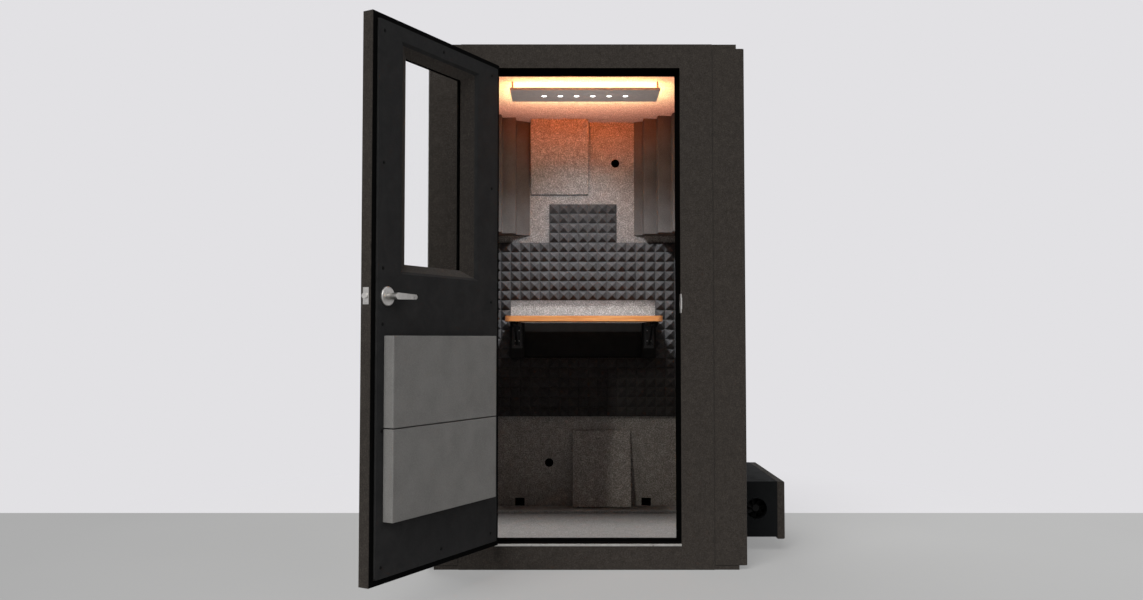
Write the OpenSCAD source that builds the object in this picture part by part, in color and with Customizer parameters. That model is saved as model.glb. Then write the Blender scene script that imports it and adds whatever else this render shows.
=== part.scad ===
/* [Cabin] */
// Outside width over the corner strips
cabin_w = 1290; // [1240:10:1500]
// Outside depth over the corner strips
cabin_d = 1290; // [1240:10:1500]
// Overall height
cabin_h = 2130; // [2120:10:2300]
// Thickness of the fabric-covered outer panels and corner strips
skin_t = 32; // [24:1:40]
// Thickness of the wall cores
core_t = 71.5; // [60:0.5:80]
// Thickness of the fabric-faced inner liners
liner_t = 8; // [5:1:12]
// Thickness of the floor panel
floor_t = 30; // [26:1:40]
// Thickness of the floor carpet
carpet_t = 7; // [4:1:10]
// Thickness of the roof panel
roof_t = 46; // [36:1:60]
// Width of each leg of a corner strip
strip_w = 130; // [100:5:140]
// How far a corner strip stops short of the floor and of the top
strip_short = 18; // [10:1:24]
// How far the rails above and below the corner strips lie behind them
rail_back = 3; // [1:0.5:6]
// Radius of the outer edge of a corner strip
strip_r = 8; // [3:1:14]
// Chamfer along the seams of the outer panels
seam_chamfer = 3; // [1:0.5:5]

/* [Ledge] */
// Height of the carpeted ledge along the back wall
ledge_h = 14; // [8:1:20]
// Depth of the carpeted ledge
ledge_d = 150; // [120:5:180]

/* [Doorway] */
// Clear width of the doorway at its front
door_open_w = 762; // [720:2:780]
// Height of the sill above the ground
sill_z = 105.5; // [90:0.5:120]
// Distance from the top of the cabin to the head of the doorway
header_h = 98.5; // [90:0.5:140]
// Thickness of the door frame boards
jamb_t = 12; // [10:1:18]
// Depth from the front face to the door stop
stop_y = 46; // [45.5:0.5:52]
// Depth of the stop itself
stop_d = 16; // [12:1:20]
// How far the stop stands in at the sides
stop_side = 15; // [11:1:18]
// How far the stop stands in at the top
stop_top = 19; // [12:1:22]
// How far the stop stands in at the sill
stop_sill = 6.5; // [5:0.5:10]
// Height of the bright threshold strip
threshold_h = 9; // [6:1:10]
// Distance from the sill down to the threshold strip
threshold_drop = 2; // [0.5:0.5:3]
// Thickness of the threshold strip
threshold_t = 2; // [1.5:0.5:3]

/* [Door] */
// Angle at which the door stands open
open_a = 119.4; // [90:0.2:150]
// Thickness of the door slab
slab_t = 42; // [38:1:44]
// Gap between slab and frame at each side
door_gap_x = 2.5; // [2:0.5:4]
// Gap between slab and frame at the top and the sill
door_gap_z = 3; // [2:0.5:5]
// Distance from the side of the doorway to the hinge pin
pin_out = 11; // [10:0.5:13]
// Distance from the front face to the hinge pin
pin_fore = 9.5; // [9:0.5:11]
// Thickness of the black inner panel of the door
panel_t = 10; // [8:1:14]
// Margin of bare slab around the inner panel
panel_inset = 22; // [20:1:26]
// Radius of the corners of the inner panel
panel_r = 6; // [2:1:12]
// Radius of the heads of the panel screws
screw_r = 4.5; // [3:0.5:6]
// Height of the heads of the panel screws
screw_h = 1.6; // [1:0.2:2.4]
// Distance from the free edge of the slab to the panel screws
screw_free = 50; // [46:1:51]
// Distance from the hinge edge of the slab to the panel screws
screw_hinge = 64; // [50:1:74]
// Distance from the foot and the top of the panel to the end screws
screw_end = 37; // [28:1:44]
// Distance from the lever spindle to the screws above and below it
screw_latch = 94; // [70:1:120]
// Thickness of the rubber seal on the slab
seal_t = 3; // [2:0.5:3]
// Width of the rubber seal
seal_w = 18; // [12:1:19]

/* [Window] */
// Distance from the hinge edge of the slab to the glass
glass_x = 220; // [200:1:240]
// Visible width of the glass
glass_w = 328; // [260:2:340]
// Height of the foot of the glass above the ground
glass_z = 1186; // [1180:2:1230]
// Distance from the top of the slab to the glass
glass_head = 110.5; // [100:0.5:240]
// Thickness of the glass
glass_t = 8; // [6:1:10]
// Distance from the outer face of the slab to the glass
glass_y = 4; // [3:1:8]
// How far the glass reaches into its rebate
glass_rebate = 10; // [6:1:14]
// Flare of the window reveal at each side
flare_x = 69; // [40:1:75]
// Flare of the window reveal at the top and the foot
flare_z = 38; // [30:1:45]
// Width of the trim around the window on the outside
trim_w = 26; // [20:1:40]
// Thickness of the outside window trim
trim_t = 4; // [2:0.5:6]

/* [Door foam] */
// Distance from the hinge edge of the slab to the foam
foam_panel_x = 87; // [80:1:100]
// Width of one foam panel
foam_panel_w = 613; // [560:1:620]
// Height of one foam panel
foam_panel_h = 308; // [250:1:314]
// Gap between the two foam panels
foam_panel_gap = 4; // [1:0.5:8]
// Thickness of the foam panels on the door
foam_panel_t = 42; // [30:1:50]
// Height of the foot of the lower foam panel above the ground
foam_panel_z = 316; // [300:1:316]

/* [Lock] */
// Distance from the free edge of the slab to the lever spindle
backset = 70; // [60:1:75]
// Height of the lever spindle above the ground
lever_z = 1068.5; // [1050:0.5:1080]
// Radius of the roses
rose_r = 33; // [26:1:34]
// Thickness of the roses
rose_t = 8; // [6:1:10]
// Radius of the lever spindle
spindle_r = 8; // [6:0.5:9]
// Distance from the face of the door to the middle of the lever
lever_off = 42; // [36:1:48]
// Length of the lever from the spindle to its tip
lever_len = 104; // [90:1:120]
// Thickness of the lever
lever_t = 17; // [13:1:20]
// Radius of the latch bolt
bolt_r = 8; // [6:0.5:9]
// How far the latch bolt stands out of the slab
bolt_out = 12; // [9:1:12]
// Length of the latch bolt
bolt_len = 50; // [46:1:54]
// Height of the face plate on the edge of the slab
faceplate_h = 57; // [50:1:70]
// Width of the face plate
faceplate_w = 25; // [22:1:30]
// Thickness of the face plate and of the strike
plate_t = 2; // [1.5:0.5:3]
// Height of the strike plate
strike_h = 77; // [66:1:90]

/* [Hinges] */
// Height of one hinge
hinge_h = 100; // [80:5:120]
// Radius of the hinge pin
hinge_pin_r = 4; // [3:0.5:5]
// Radius of the hinge knuckles
knuckle_r = 8.5; // [7.5:0.5:8.5]
// Thickness of the hinge leaves
leaf_t = 3; // [2:0.5:4]
// Width of each hinge leaf from the pin
leaf_w = 58; // [45:1:70]

/* [Wall foam] */
// Distance between the foam pyramids
pitch = 50.8; // [40:0.1:60]
// Thickness of the foam under the pyramids
foam_base = 20; // [12:1:24]
// Height of the pyramids
pyramid_h = 30; // [20:1:31]
// Height of the foot of the foam above the ground
foam_z = 518; // [500:1:530]
// Rows of pyramids in each tall tile
tile_rows = 6; // [4:1:6]
// Columns of pyramids beside the desk cut-out
side_cols = 3; // [2:1:3]
// Columns of pyramids in the top block
block_cols = 7; // [5:2:9]
// Rows of pyramids in the top block
block_rows = 4; // [3:1:5]

/* [Bass traps] */
// Gap between the wall foam and the foot of the bass traps
trap_gap = 37.6; // [10:0.1:80]
// Reach of the left and the right bass trap along the back wall
trap_reach = [252, 262]; // [240:1:270]
// Reach of a bass trap along the side wall
trap_side = 240; // [235:1:250]
// Thickness of a bass trap at its end on the back wall
trap_lip = 6; // [4:1:12]
// Distance from the side wall to the first step of the left and the right bass trap
trap_first = [183, 218]; // [170:1:225]
// Distance between the steps of a bass trap
trap_step = 69; // [60:1:75]
// How far the edge of each step stands out from the slope of the trap
trap_nose = 56; // [40:1:60]
// How far the foot of each step lies behind the slope of the trap
trap_foot = 16; // [8:1:20]

/* [Vents] */
// How far the vent covers stand out from the back wall at their deep end
vent_t = 88; // [60:1:100]
// How far the vent covers stand out at their thin end
vent_thin = 14; // [12:1:24]
// Width of the vent covers
vent_w = 302; // [280:1:310]
// Height of the lower vent cover
vent_h = 388; // [360:1:400]
// Gap between the top block of foam and the upper vent cover
vent_gap = 52.4; // [20:0.1:80]
// Gap between the left bass trap and the upper vent cover
vent_side = 7.5; // [4:0.5:20]
// Thickness of the boards of the vent covers
vent_board = 8; // [6:1:9]
// Middle of the lower vent cover across the wall
vent_low_x = 97; // [90:1:102]
// Height of the foot of the lower vent cover above the ground
vent_low_z = 56; // [53:1:70]
// Width of the air duct through the back wall
duct_w = 200; // [160:5:220]
// Height of the air duct through the back wall
duct_h = 70; // [50:5:90]
// Distance from the deep end of a vent cover to its duct
duct_up = 60; // [40:1:80]
// Slats in each rear grille
slat_count = 7; // [5:1:9]

/* [Cable ports] */
// Radius of the round cable ports
port_r = 16; // [12:1:20]
// Wall thickness of the port liners
port_wall = 3; // [2:0.5:4]
// Thickness of the cap that closes each round port on the outside
port_cap = 3; // [2:0.5:5]
// Distance of the upper port from the middle of the wall
port_top_x = 172; // [165:1:190]
// Distance of the lower port from the middle of the wall
port_low_x = -178; // [-190:1:-165]
// Height of the lower port above the ground
port_low_z = 275; // [200:1:320]
// Width of the small floor-level ports
slot_w = 49; // [40:1:60]
// Height of the small floor-level ports
slot_h = 40; // [30:1:46]
// Distance of the small ports from the middle of the wall
slot_x = 331; // [300:1:350]

/* [Desk] */
// How far the desk board reaches past the cut-out in the foam at each side
desk_side = 5; // [1:1:10]
// Depth of the desk board
desk_d = 356; // [330:1:380]
// Thickness of the desk board
desk_t = 27; // [20:1:32]
// Height of the top of the desk above the ground
desk_z = 1036.5; // [1030:0.5:1060]
// Radius of the front corners of the desk board
desk_r = 40; // [10:5:60]
// Thickness of the wall blocks behind the desk
block_t = 50; // [46:1:52]
// Width of each wall block
block_w = 72; // [64:1:76]
// Clearance between a wall block and the foam
block_gap = 1; // [0.5:0.5:3]
// Thickness of the backing board between the wall blocks
backing_t = 6; // [4:1:10]

/* [Folding brackets] */
// Width of the wall leg
leg_w = 52; // [48:1:60]
// Thickness of the bracket plates
bracket_t = 3; // [2:0.5:3]
// Distance from the wall block to the fold axis
fold_out = 17; // [16.5:0.5:22]
// Distance from the underside of the desk to the fold axis
fold_drop = 12; // [12:0.5:14]
// Distance from the fold axis down to the strut pivot
strut_drop = 100; // [90:1:110]
// Length of a strut between its ends
strut_len = 240; // [220:1:250]
// Length of the arm from the fold axis
arm_len = 300; // [270:1:320]
// Radius of the bracket pins
pivot_r = 4; // [3:0.5:4.5]
// Radius of the rounded ends of the bracket plates
ear_r = 9; // [8:0.5:9]
// Distance from the middle of a wall leg to its screws
leg_screw_x = 10; // [7:0.5:11]
// Radius of the bracket screws
leg_screw_r = 2.2; // [1.6:0.1:2.6]
// Distance from the fold axis down to the upper and lower bracket screws
leg_screw_z = [30, 84]; // [24:1:92]
// Height of the heads of the bracket screws
leg_screw_h = 2; // [1.4:0.2:2.4]

/* [Ceiling light] */
// Width of the light bar
light_w = 674; // [560:2:700]
// Depth of the light bar
light_d = 209; // [160:1:230]
// Thickness of the light bar
light_t = 12; // [10:1:16]
// Gap between the light bar and the ceiling
light_gap = 29; // [20:1:40]
// Distance from the middle of the cabin to the middle of the light bar
light_y = -180.5; // [-200:0.5:-160]
// Distance between the spots
spot_pitch = 74.5; // [60:0.5:90]
// Radius of each spot
spot_r = 11; // [8:0.5:14]
// Number of spots
spot_count = 6; // [4:1:8]
// Distance from the edge of the light bar to the light strip on top of it
led_inset = 24; // [20:1:40]
// Width of the light strip
led_w = 12; // [8:1:16]
// Thickness of the light strip
led_t = 4; // [2:0.5:6]

/* [Silencer] */
// How far the silencer box stands out from the right wall
box_w = 190; // [170:1:220]
// Length of the silencer box
box_l = 645; // [600:5:700]
// Height of the silencer box
box_h = 239; // [220:1:260]
// Height of the foot of the silencer box above the ground
box_z = 65; // [60:1:80]
// Thickness of the silencer boards
box_board = 15; // [12:1:18]
// Thickness of the fabric-covered cover board
cover_t = 32; // [20:1:40]
// How far the cover reaches below the box
cover_drop = 9; // [4:1:14]
// Radius of the duct port in the front of the silencer
duct_port_r = 45; // [40:1:50]
// Distance from the right wall to the middle of the duct port
duct_port_x = 100; // [90:1:105]
// Width and height of the air passage through the right wall
pass_w = 120; // [100:5:130]
// Radius of the fan rotor
fan_r = 44; // [40:1:46]
// Depth of the fan frame
fan_d = 38; // [30:1:42]
// Radius of the fan shaft
fan_shaft_r = 3; // [2:0.5:4]
// Number of fan blades
fan_blades = 7; // [5:1:9]

/* [Fit] */
// Radial running clearance of pins and shafts
run_gap = 0.05; // [0.03:0.01:0.08]
// Gap between moving faces
side_gap = 0.5; // [0.3:0.1:0.8]

/* [Hidden] */
$fn = 48;
eps = 1;

front_y = -cabin_d / 2;
core_x = cabin_w / 2 - skin_t;
core_y = cabin_d / 2 - skin_t;
liner_x = core_x - core_t;
liner_y = core_y - core_t;
in_x = liner_x - liner_t;
in_y = liner_y - liner_t;
core_top = cabin_h - roof_t;
ceiling_z = core_top - liner_t;
carpet_z = floor_t + carpet_t;
wall_t = skin_t + core_t + liner_t;

open_x = door_open_w / 2;
head_z = cabin_h - header_h;
pin_x = -open_x - pin_out;
pin_y = front_y - pin_fore;
slab_x = open_x - door_gap_x;
slab_w = 2 * slab_x;
slab_z0 = sill_z + door_gap_z;
slab_z1 = head_z - door_gap_z;
slab_in = front_y + slab_t;
panel_in = slab_in + panel_t;
panel_gap = 2;
panel_z0 = slab_z0 + panel_inset;
panel_z1 = slab_z1 - panel_inset;
glass_x0 = -slab_x + glass_x;
glass_h = slab_z1 - glass_head - glass_z;
lever_x = slab_x - backset;
bolt_y = front_y + slab_t / 2;
hinge_zs = [for (k = [0.14, 0.5, 0.86]) slab_z0 + k * (slab_z1 - slab_z0)];
knuckle_h = hinge_h / 5;

foam_t = foam_base + pyramid_h;
cols = floor(2 * in_x / pitch + 0.01);
cut_x = (cols / 2 - side_cols) * pitch;
tile_h = tile_rows * pitch;
cut_z0 = foam_z + tile_h;
cut_z1 = cut_z0 + tile_h;
foam_top_z = cut_z1 + tile_h;

block_top_z = foam_top_z + block_rows * pitch;
vent_top_x = -in_x + trap_reach[0] + vent_side + vent_w / 2;
vent_top_z = block_top_z + vent_gap;
vent_top_h = ceiling_z - vent_top_z;
port_top_z = (block_top_z + ceiling_z) / 2;
duct_top_z = ceiling_z - duct_up - duct_h;
duct_low_z = vent_low_z + duct_up;
slot_z = carpet_z + ledge_h + slot_h / 2;

block_x = cut_x - block_gap - block_w / 2;
block_y = in_y - block_t;
block_z = cut_z0 + block_gap;
fold_y = block_y - fold_out;
fold_z = desk_z - desk_t - fold_drop;
desk_w = 2 * (cut_x + desk_side);
desk_back = block_y - 4;
strut_a = asin(strut_drop / strut_len);
arm_in = leg_w / 2 - 8;
arm_x = arm_in + bracket_t;
ear_x = arm_in - 1;
strut_hw = 5;

light_z = ceiling_z - light_gap - light_t;
light_lip = 2.5;
box_x = cabin_w / 2;
box_y = box_l / 2;
duct_port_z = box_z + box_h / 2 + 1.5;
fan_x = box_x + duct_port_x;
fan_y = -box_y + box_board;
pass_y = box_y - 95;
pass_z = duct_port_z;

fabric_dark = [0.13, 0.125, 0.115];
fabric_light = [0.58, 0.56, 0.54];
foam_grey = [0.24, 0.235, 0.235];
foam_mid = [0.36, 0.35, 0.35];
black = [0.04, 0.04, 0.042];
metal = [0.7, 0.7, 0.7];
wood_tone = [0.68, 0.38, 0.2];
core_tone = [0.55, 0.45, 0.33];

// A box from its lowest corner to its highest corner
module span(a, b) {
    translate(a) cube(b - a);
}

// A rounded bar lying along Z, seen in plan
module round_rect(w, h, r) {
    hull() {
        for (sx = [-1, 1])
            for (sy = [-1, 1])
                translate([sx * (w / 2 - r), sy * (h / 2 - r)]) circle(r, $fn = 32);
    }
}

// A wall-sized board with its outer vertical edges chamfered, outer face towards -Y
module outer_board(half_w, height) {
    c = seam_chamfer;
    linear_extrude(height)
        polygon([
            [-half_w + c, 0], [half_w - c, 0], [half_w, c], [half_w, skin_t],
            [-half_w, skin_t], [-half_w, c]
        ]);
}

// The square air ducts through the back wall
module back_ducts(y0, y1, grow) {
    for (d = [[vent_top_x, duct_top_z], [vent_low_x, duct_low_z]])
        span([d[0] - duct_w / 2 - grow, y0, d[1] - grow],
             [d[0] + duct_w / 2 + grow, y1, d[1] + duct_h + grow]);
}

// The round cable ways through the back wall
module port_holes(y0, y1, r) {
    for (p = [[port_top_x, port_top_z], [port_low_x, port_low_z]])
        translate([p[0], y0, p[1]]) rotate([-90, 0, 0]) cylinder(r = r, h = y1 - y0);
}

// The slots for the two floor-level ports
module slot_holes(y0, y1) {
    for (s = [-1, 1])
        span([s * slot_x - slot_w / 2, y0, slot_z - slot_h / 2],
             [s * slot_x + slot_w / 2, y1, slot_z + slot_h / 2]);
}

// Everything that passes through the back wall
module back_holes(y0, y1) {
    back_ducts(y0, y1, 0);
    port_holes(y0, y1, port_r + port_wall);
}

// The passage through the right wall
module pass_hole(x0, x1) {
    span([x0, pass_y - pass_w / 2, pass_z - pass_w / 2],
         [x1, pass_y + pass_w / 2, pass_z + pass_w / 2]);
}

// The doorway as cut in the front wall, around the outside of the frame
module doorway(y0, y1) {
    span([-open_x - jamb_t, y0, sill_z - jamb_t], [open_x + jamb_t, y1, head_z + jamb_t]);
}

// The recess for the strike plate and the hole for the latch bolt
module strike_cuts() {
    translate([open_x - eps, front_y - eps, lever_z - strike_h / 2])
        cube([plate_t + eps, slab_t + eps, strike_h]);
    translate([open_x, bolt_y, lever_z])
        cube([3 * jamb_t, 2 * bolt_r + 6, 2 * bolt_r + 6], center = true);
}

// The front and back panels, which run out to the corners above and below the strips
module railed_board() {
    outer_board(cabin_w / 2 - strip_w, cabin_h);
    for (z = [0, cabin_h - strip_short])
        span([-core_x, rail_back, z], [core_x, skin_t, z + strip_short]);
}

module floor_panel() {
    color(black)
        span([-core_x, -core_y, 0], [core_x, core_y, floor_t]);
}

module floor_carpet() {
    color(fabric_light)
        span([-in_x, -in_y, floor_t], [in_x, in_y, carpet_z]);
}

module back_ledge() {
    r = 4;
    color(fabric_light)
        translate([-in_x, 0, 0]) rotate([90, 0, 90]) linear_extrude(2 * in_x)
            union() {
                translate([in_y - ledge_d, carpet_z]) square([ledge_d, ledge_h - r]);
                translate([in_y - ledge_d + r, carpet_z]) square([ledge_d - r, ledge_h]);
                translate([in_y - ledge_d + r, carpet_z + ledge_h - r]) circle(r);
            }
}

module roof_panel() {
    color(fabric_dark)
        span([-core_x, -core_y, core_top], [core_x, core_y, cabin_h]);
}

module ceiling_liner() {
    color(fabric_light)
        span([-in_x, -in_y, ceiling_z], [in_x, in_y, core_top]);
}

module front_core() {
    color(core_tone)
        difference() {
            span([-core_x, -core_y, floor_t], [core_x, -liner_y, core_top]);
            doorway(-core_y - eps, -liner_y + eps);
        }
}

module back_core() {
    color(core_tone)
        difference() {
            span([-core_x, liner_y, floor_t], [core_x, core_y, core_top]);
            back_holes(liner_y - eps, core_y + eps);
            slot_holes(liner_y - eps, liner_y + slot_w / 2);
        }
}

module left_core() {
    color(core_tone)
        span([-core_x, -liner_y, floor_t], [-liner_x, liner_y, core_top]);
}

module right_core() {
    color(core_tone)
        difference() {
            span([liner_x, -liner_y, floor_t], [core_x, liner_y, core_top]);
            pass_hole(liner_x - eps, core_x + eps);
        }
}

module front_skin() {
    color(fabric_dark)
        difference() {
            translate([0, front_y, 0]) railed_board();
            span([-open_x, front_y - eps, sill_z], [open_x, -core_y + eps, head_z]);
            strike_cuts();
        }
}

module back_skin() {
    color(fabric_dark)
        difference() {
            translate([0, cabin_d / 2, 0]) rotate(180) railed_board();
            back_holes(core_y - eps, cabin_d / 2 + eps);
        }
}

module left_skin() {
    color(fabric_dark)
        translate([-cabin_w / 2, 0, 0]) rotate(-90)
            outer_board(cabin_d / 2 - strip_w, cabin_h);
}

module right_skin() {
    color(fabric_dark)
        difference() {
            translate([cabin_w / 2, 0, 0]) rotate(90)
                outer_board(cabin_d / 2 - strip_w, cabin_h);
            pass_hole(core_x - eps, cabin_w / 2 + eps);
        }
}

// Outline of a corner strip with its outer corner at the origin
module strip_outline() {
    c = seam_chamfer;
    difference() {
        union() {
            translate([strip_r, 0]) square([strip_w - strip_r, skin_t]);
            translate([0, strip_r]) square([skin_t, strip_w - strip_r]);
            translate([strip_r, strip_r]) circle(strip_r);
        }
        translate([strip_w, 0]) rotate(45) square(c * sqrt(2), center = true);
        translate([0, strip_w]) rotate(45) square(c * sqrt(2), center = true);
    }
}

module corner_strips() {
    color(fabric_dark)
        for (sx = [0, 1])
            for (sy = [0, 1])
                mirror([sx, 0, 0]) mirror([0, sy, 0])
                    translate([-cabin_w / 2, -cabin_d / 2, strip_short])
                        linear_extrude(cabin_h - 2 * strip_short) strip_outline();
}

module front_liner() {
    color(fabric_light)
        difference() {
            span([-in_x, -liner_y, floor_t], [in_x, -in_y, core_top]);
            doorway(-liner_y - eps, -in_y + eps);
        }
}

module back_liner() {
    color(fabric_light)
        difference() {
            span([-in_x, in_y, floor_t], [in_x, liner_y, core_top]);
            back_holes(in_y - eps, liner_y + eps);
            slot_holes(in_y - eps, liner_y + eps);
        }
}

module left_liner() {
    color(fabric_light)
        span([-liner_x, -liner_y, floor_t], [-in_x, liner_y, core_top]);
}

module right_liner() {
    color(fabric_light)
        difference() {
            span([in_x, -liner_y, floor_t], [liner_x, liner_y, core_top]);
            pass_hole(in_x - eps, liner_x + eps);
        }
}

module door_frame() {
    stop = front_y + stop_y;
    back = stop + stop_d;
    color(black)
        difference() {
            doorway(-core_y, -in_y);
            span([-open_x, front_y - eps, sill_z], [open_x, stop, head_z]);
            span([-open_x + stop_side, stop - eps, sill_z + stop_sill],
                 [open_x - stop_side, back + eps, head_z - stop_top]);
            span([-open_x, back, sill_z], [open_x, -in_y + eps, head_z]);
            strike_cuts();
        }
}

module threshold_strip() {
    top = sill_z - threshold_drop;
    color(metal)
        span([-open_x, front_y - threshold_t, top - threshold_h], [open_x, front_y, top]);
}

module strike_plate() {
    hole = 2 * bolt_r + 4;
    lip_h = strike_h * 0.6;
    lip_w = 2 * plate_t;
    color(metal)
        difference() {
            union() {
                translate([open_x, front_y, lever_z - strike_h / 2])
                    cube([plate_t, slab_t, strike_h]);
                translate([open_x, front_y - plate_t, lever_z - strike_h / 2])
                    cube([lip_w, plate_t, strike_h]);
                translate([open_x, front_y - plate_t, lever_z - lip_h / 2])
                    cube([lip_w + plate_t, plate_t, lip_h]);
            }
            translate([open_x + plate_t / 2, bolt_y, lever_z])
                cube([4 * plate_t, hole, hole], center = true);
            for (s = [-1, 1])
                translate([open_x - eps, bolt_y, lever_z + s * (strike_h / 2 - 12)])
                    rotate([0, 90, 0]) cylinder(r = 2.5, h = plate_t + 2 * eps);
        }
}

// Plan of a hinge leaf on the frame side, measured from the pin
module frame_leaf_plan() {
    translate([-leaf_w, pin_fore - leaf_t]) square([leaf_w, leaf_t]);
}

// Plan of a hinge leaf on the door side, which lifts clear of the frame near the pin
module door_leaf_plan() {
    step_x = pin_out + door_gap_x + 1;
    translate([step_x, pin_fore - leaf_t]) square([leaf_w - step_x, leaf_t]);
    translate([0, pin_fore - leaf_t - side_gap]) square([step_x + leaf_t, leaf_t]);
}

// Every second knuckle with its web, counted from k0
module knuckles(k0, k1) {
    for (k = [k0 : 2 : k1])
        translate([0, 0, (k - 2.5) * knuckle_h + (k == 0 ? 0 : side_gap / 2)])
            linear_extrude(knuckle_h - side_gap / (k % 4 == 0 ? 2 : 1)) children();
}

module frame_hinges() {
    clear = knuckle_r + 2;
    color(metal)
        for (z = hinge_zs)
            translate([pin_x, pin_y, z]) {
                difference() {
                    union() {
                        knuckles(0, 4) {
                            union() {
                                circle(knuckle_r);
                                frame_leaf_plan();
                            }
                        }
                        translate([-leaf_w, pin_fore - leaf_t, -hinge_h / 2])
                            cube([leaf_w - clear, leaf_t, hinge_h]);
                    }
                    for (s = [-1, 0, 1])
                        translate([-leaf_w + 14, pin_fore - leaf_t - eps, s * hinge_h * 0.32])
                            rotate([-90, 0, 0]) cylinder(r = 3, h = leaf_t + 2 * eps);
                }
                cylinder(r = hinge_pin_r, h = hinge_h, center = true);
            }
}

// Turns what is drawn for the closed door to where the door stands open
module door_place() {
    translate([pin_x, pin_y, 0]) rotate(-open_a) translate([-pin_x, -pin_y, 0]) children();
}

module door_hinges() {
    clear = knuckle_r + 2;
    color(metal)
        door_place()
            for (z = hinge_zs)
                translate([pin_x, pin_y, z])
                    difference() {
                        union() {
                            knuckles(1, 3) {
                                difference() {
                                    union() {
                                        circle(knuckle_r);
                                        door_leaf_plan();
                                    }
                                    circle(hinge_pin_r + run_gap);
                                }
                            }
                            translate([pin_out + door_gap_x + 1, pin_fore - leaf_t, -hinge_h / 2])
                                cube([leaf_w - pin_out - door_gap_x - 1, leaf_t, hinge_h]);
                        }
                        for (s = [-1, 0, 1])
                            translate([leaf_w - 14, pin_fore - leaf_t - eps, s * hinge_h * 0.32])
                                rotate([-90, 0, 0]) cylinder(r = 3, h = leaf_t + 2 * eps);
                    }
}

// The tapering reveal of the window, wide at the inner panel: it is where two wedges cross
module window_reveal() {
    y0 = front_y + glass_y + glass_t;
    dy = panel_in - y0;
    x0 = glass_x0;
    z0 = glass_z;
    far = 2 * (glass_w + glass_h);
    intersection() {
        translate([0, 0, z0 - far / 2]) linear_extrude(2 * far)
            polygon([[x0, y0], [x0 + glass_w, y0], [x0 + glass_w + flare_x, y0 + dy],
                     [x0 + glass_w + flare_x, y0 + dy + eps], [x0 - flare_x, y0 + dy + eps],
                     [x0 - flare_x, y0 + dy]]);
        side_plate(x0 - far / 2, 2 * far)
            polygon([[y0, z0], [y0 + dy, z0 - flare_z], [y0 + dy + eps, z0 - flare_z],
                     [y0 + dy + eps, z0 + glass_h + flare_z], [y0 + dy, z0 + glass_h + flare_z],
                     [y0, z0 + glass_h]]);
    }
}

module door_slab() {
    color(fabric_dark)
        door_place()
            difference() {
                span([-slab_x, front_y, slab_z0], [slab_x, slab_in, slab_z1]);
                window_reveal();
                span([glass_x0, front_y - eps, glass_z],
                     [glass_x0 + glass_w, slab_in, glass_z + glass_h]);
                span([glass_x0 - glass_rebate, front_y - eps, glass_z - glass_rebate],
                     [glass_x0 + glass_w + glass_rebate, front_y + glass_y + glass_t,
                      glass_z + glass_h + glass_rebate]);
                translate([lever_x, front_y - eps, lever_z]) rotate([-90, 0, 0])
                    cylinder(r = spindle_r + 2, h = slab_t + 2 * eps);
                translate([slab_x + eps, bolt_y, lever_z]) rotate([0, -90, 0])
                    cylinder(r = bolt_r + 4, h = backset + eps);
                translate([slab_x - plate_t, bolt_y - faceplate_w / 2, lever_z - faceplate_h / 2])
                    cube([plate_t + eps, faceplate_w, faceplate_h]);
            }
}

module door_panel() {
    color(black)
        door_place()
            difference() {
                translate([0, slab_in, (panel_z0 + panel_z1) / 2]) rotate([-90, 0, 0])
                    linear_extrude(panel_t)
                        round_rect(slab_w - 2 * panel_inset, panel_z1 - panel_z0, panel_r);
                window_reveal();
                translate([lever_x, slab_in - eps, lever_z]) rotate([-90, 0, 0])
                    cylinder(r = spindle_r + 2, h = panel_t + 2 * eps);
            }
}

module door_seal() {
    m = panel_inset - panel_gap;
    color(black)
        door_place()
            difference() {
                span([-slab_x + m - seal_w, slab_in, slab_z0 + m - seal_w],
                     [slab_x - m + seal_w, slab_in + seal_t, slab_z1 - m + seal_w]);
                span([-slab_x + m, slab_in - eps, slab_z0 + m],
                     [slab_x - m, slab_in + seal_t + eps, slab_z1 - m]);
            }
}

module window_glass() {
    color([0.75, 0.82, 0.84, 0.35])
        door_place()
            span([glass_x0 - glass_rebate, front_y + glass_y, glass_z - glass_rebate],
                 [glass_x0 + glass_w + glass_rebate, front_y + glass_y + glass_t,
                  glass_z + glass_h + glass_rebate]);
}

module window_trim() {
    color(black)
        door_place()
            difference() {
                union() {
                    span([glass_x0 - trim_w, front_y - trim_t, glass_z - trim_w],
                         [glass_x0 + glass_w + trim_w, front_y, glass_z + glass_h + trim_w]);
                    span([glass_x0 - glass_rebate, front_y - eps, glass_z - glass_rebate],
                         [glass_x0 + glass_w + glass_rebate, front_y + glass_y,
                          glass_z + glass_h + glass_rebate]);
                }
                span([glass_x0, front_y - 2 * trim_t, glass_z],
                     [glass_x0 + glass_w, front_y + glass_y + eps, glass_z + glass_h]);
            }
}

// One flat foam panel on the inside of the door, with its arrises eased
module door_foam(z) {
    c = 3;
    w = foam_panel_w;
    color(foam_mid)
        door_place()
            translate([-slab_x + foam_panel_x, panel_in, z])
                linear_extrude(foam_panel_h)
                    polygon([[0, 0], [w, 0], [w, foam_panel_t - c], [w - c, foam_panel_t],
                             [c, foam_panel_t], [0, foam_panel_t - c]]);
}

module door_foam_upper() {
    door_foam(foam_panel_z + foam_panel_h + foam_panel_gap);
}

module door_foam_lower() {
    door_foam(foam_panel_z);
}

// A rose with a turned edge, seated on the XY plane and standing up
module rose() {
    c = 2.5;
    rotate_extrude($fn = 64)
        polygon([
            [spindle_r + run_gap, 0], [rose_r, 0], [rose_r, rose_t - c],
            [rose_r - c, rose_t], [spindle_r + run_gap, rose_t]
        ]);
}

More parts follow.
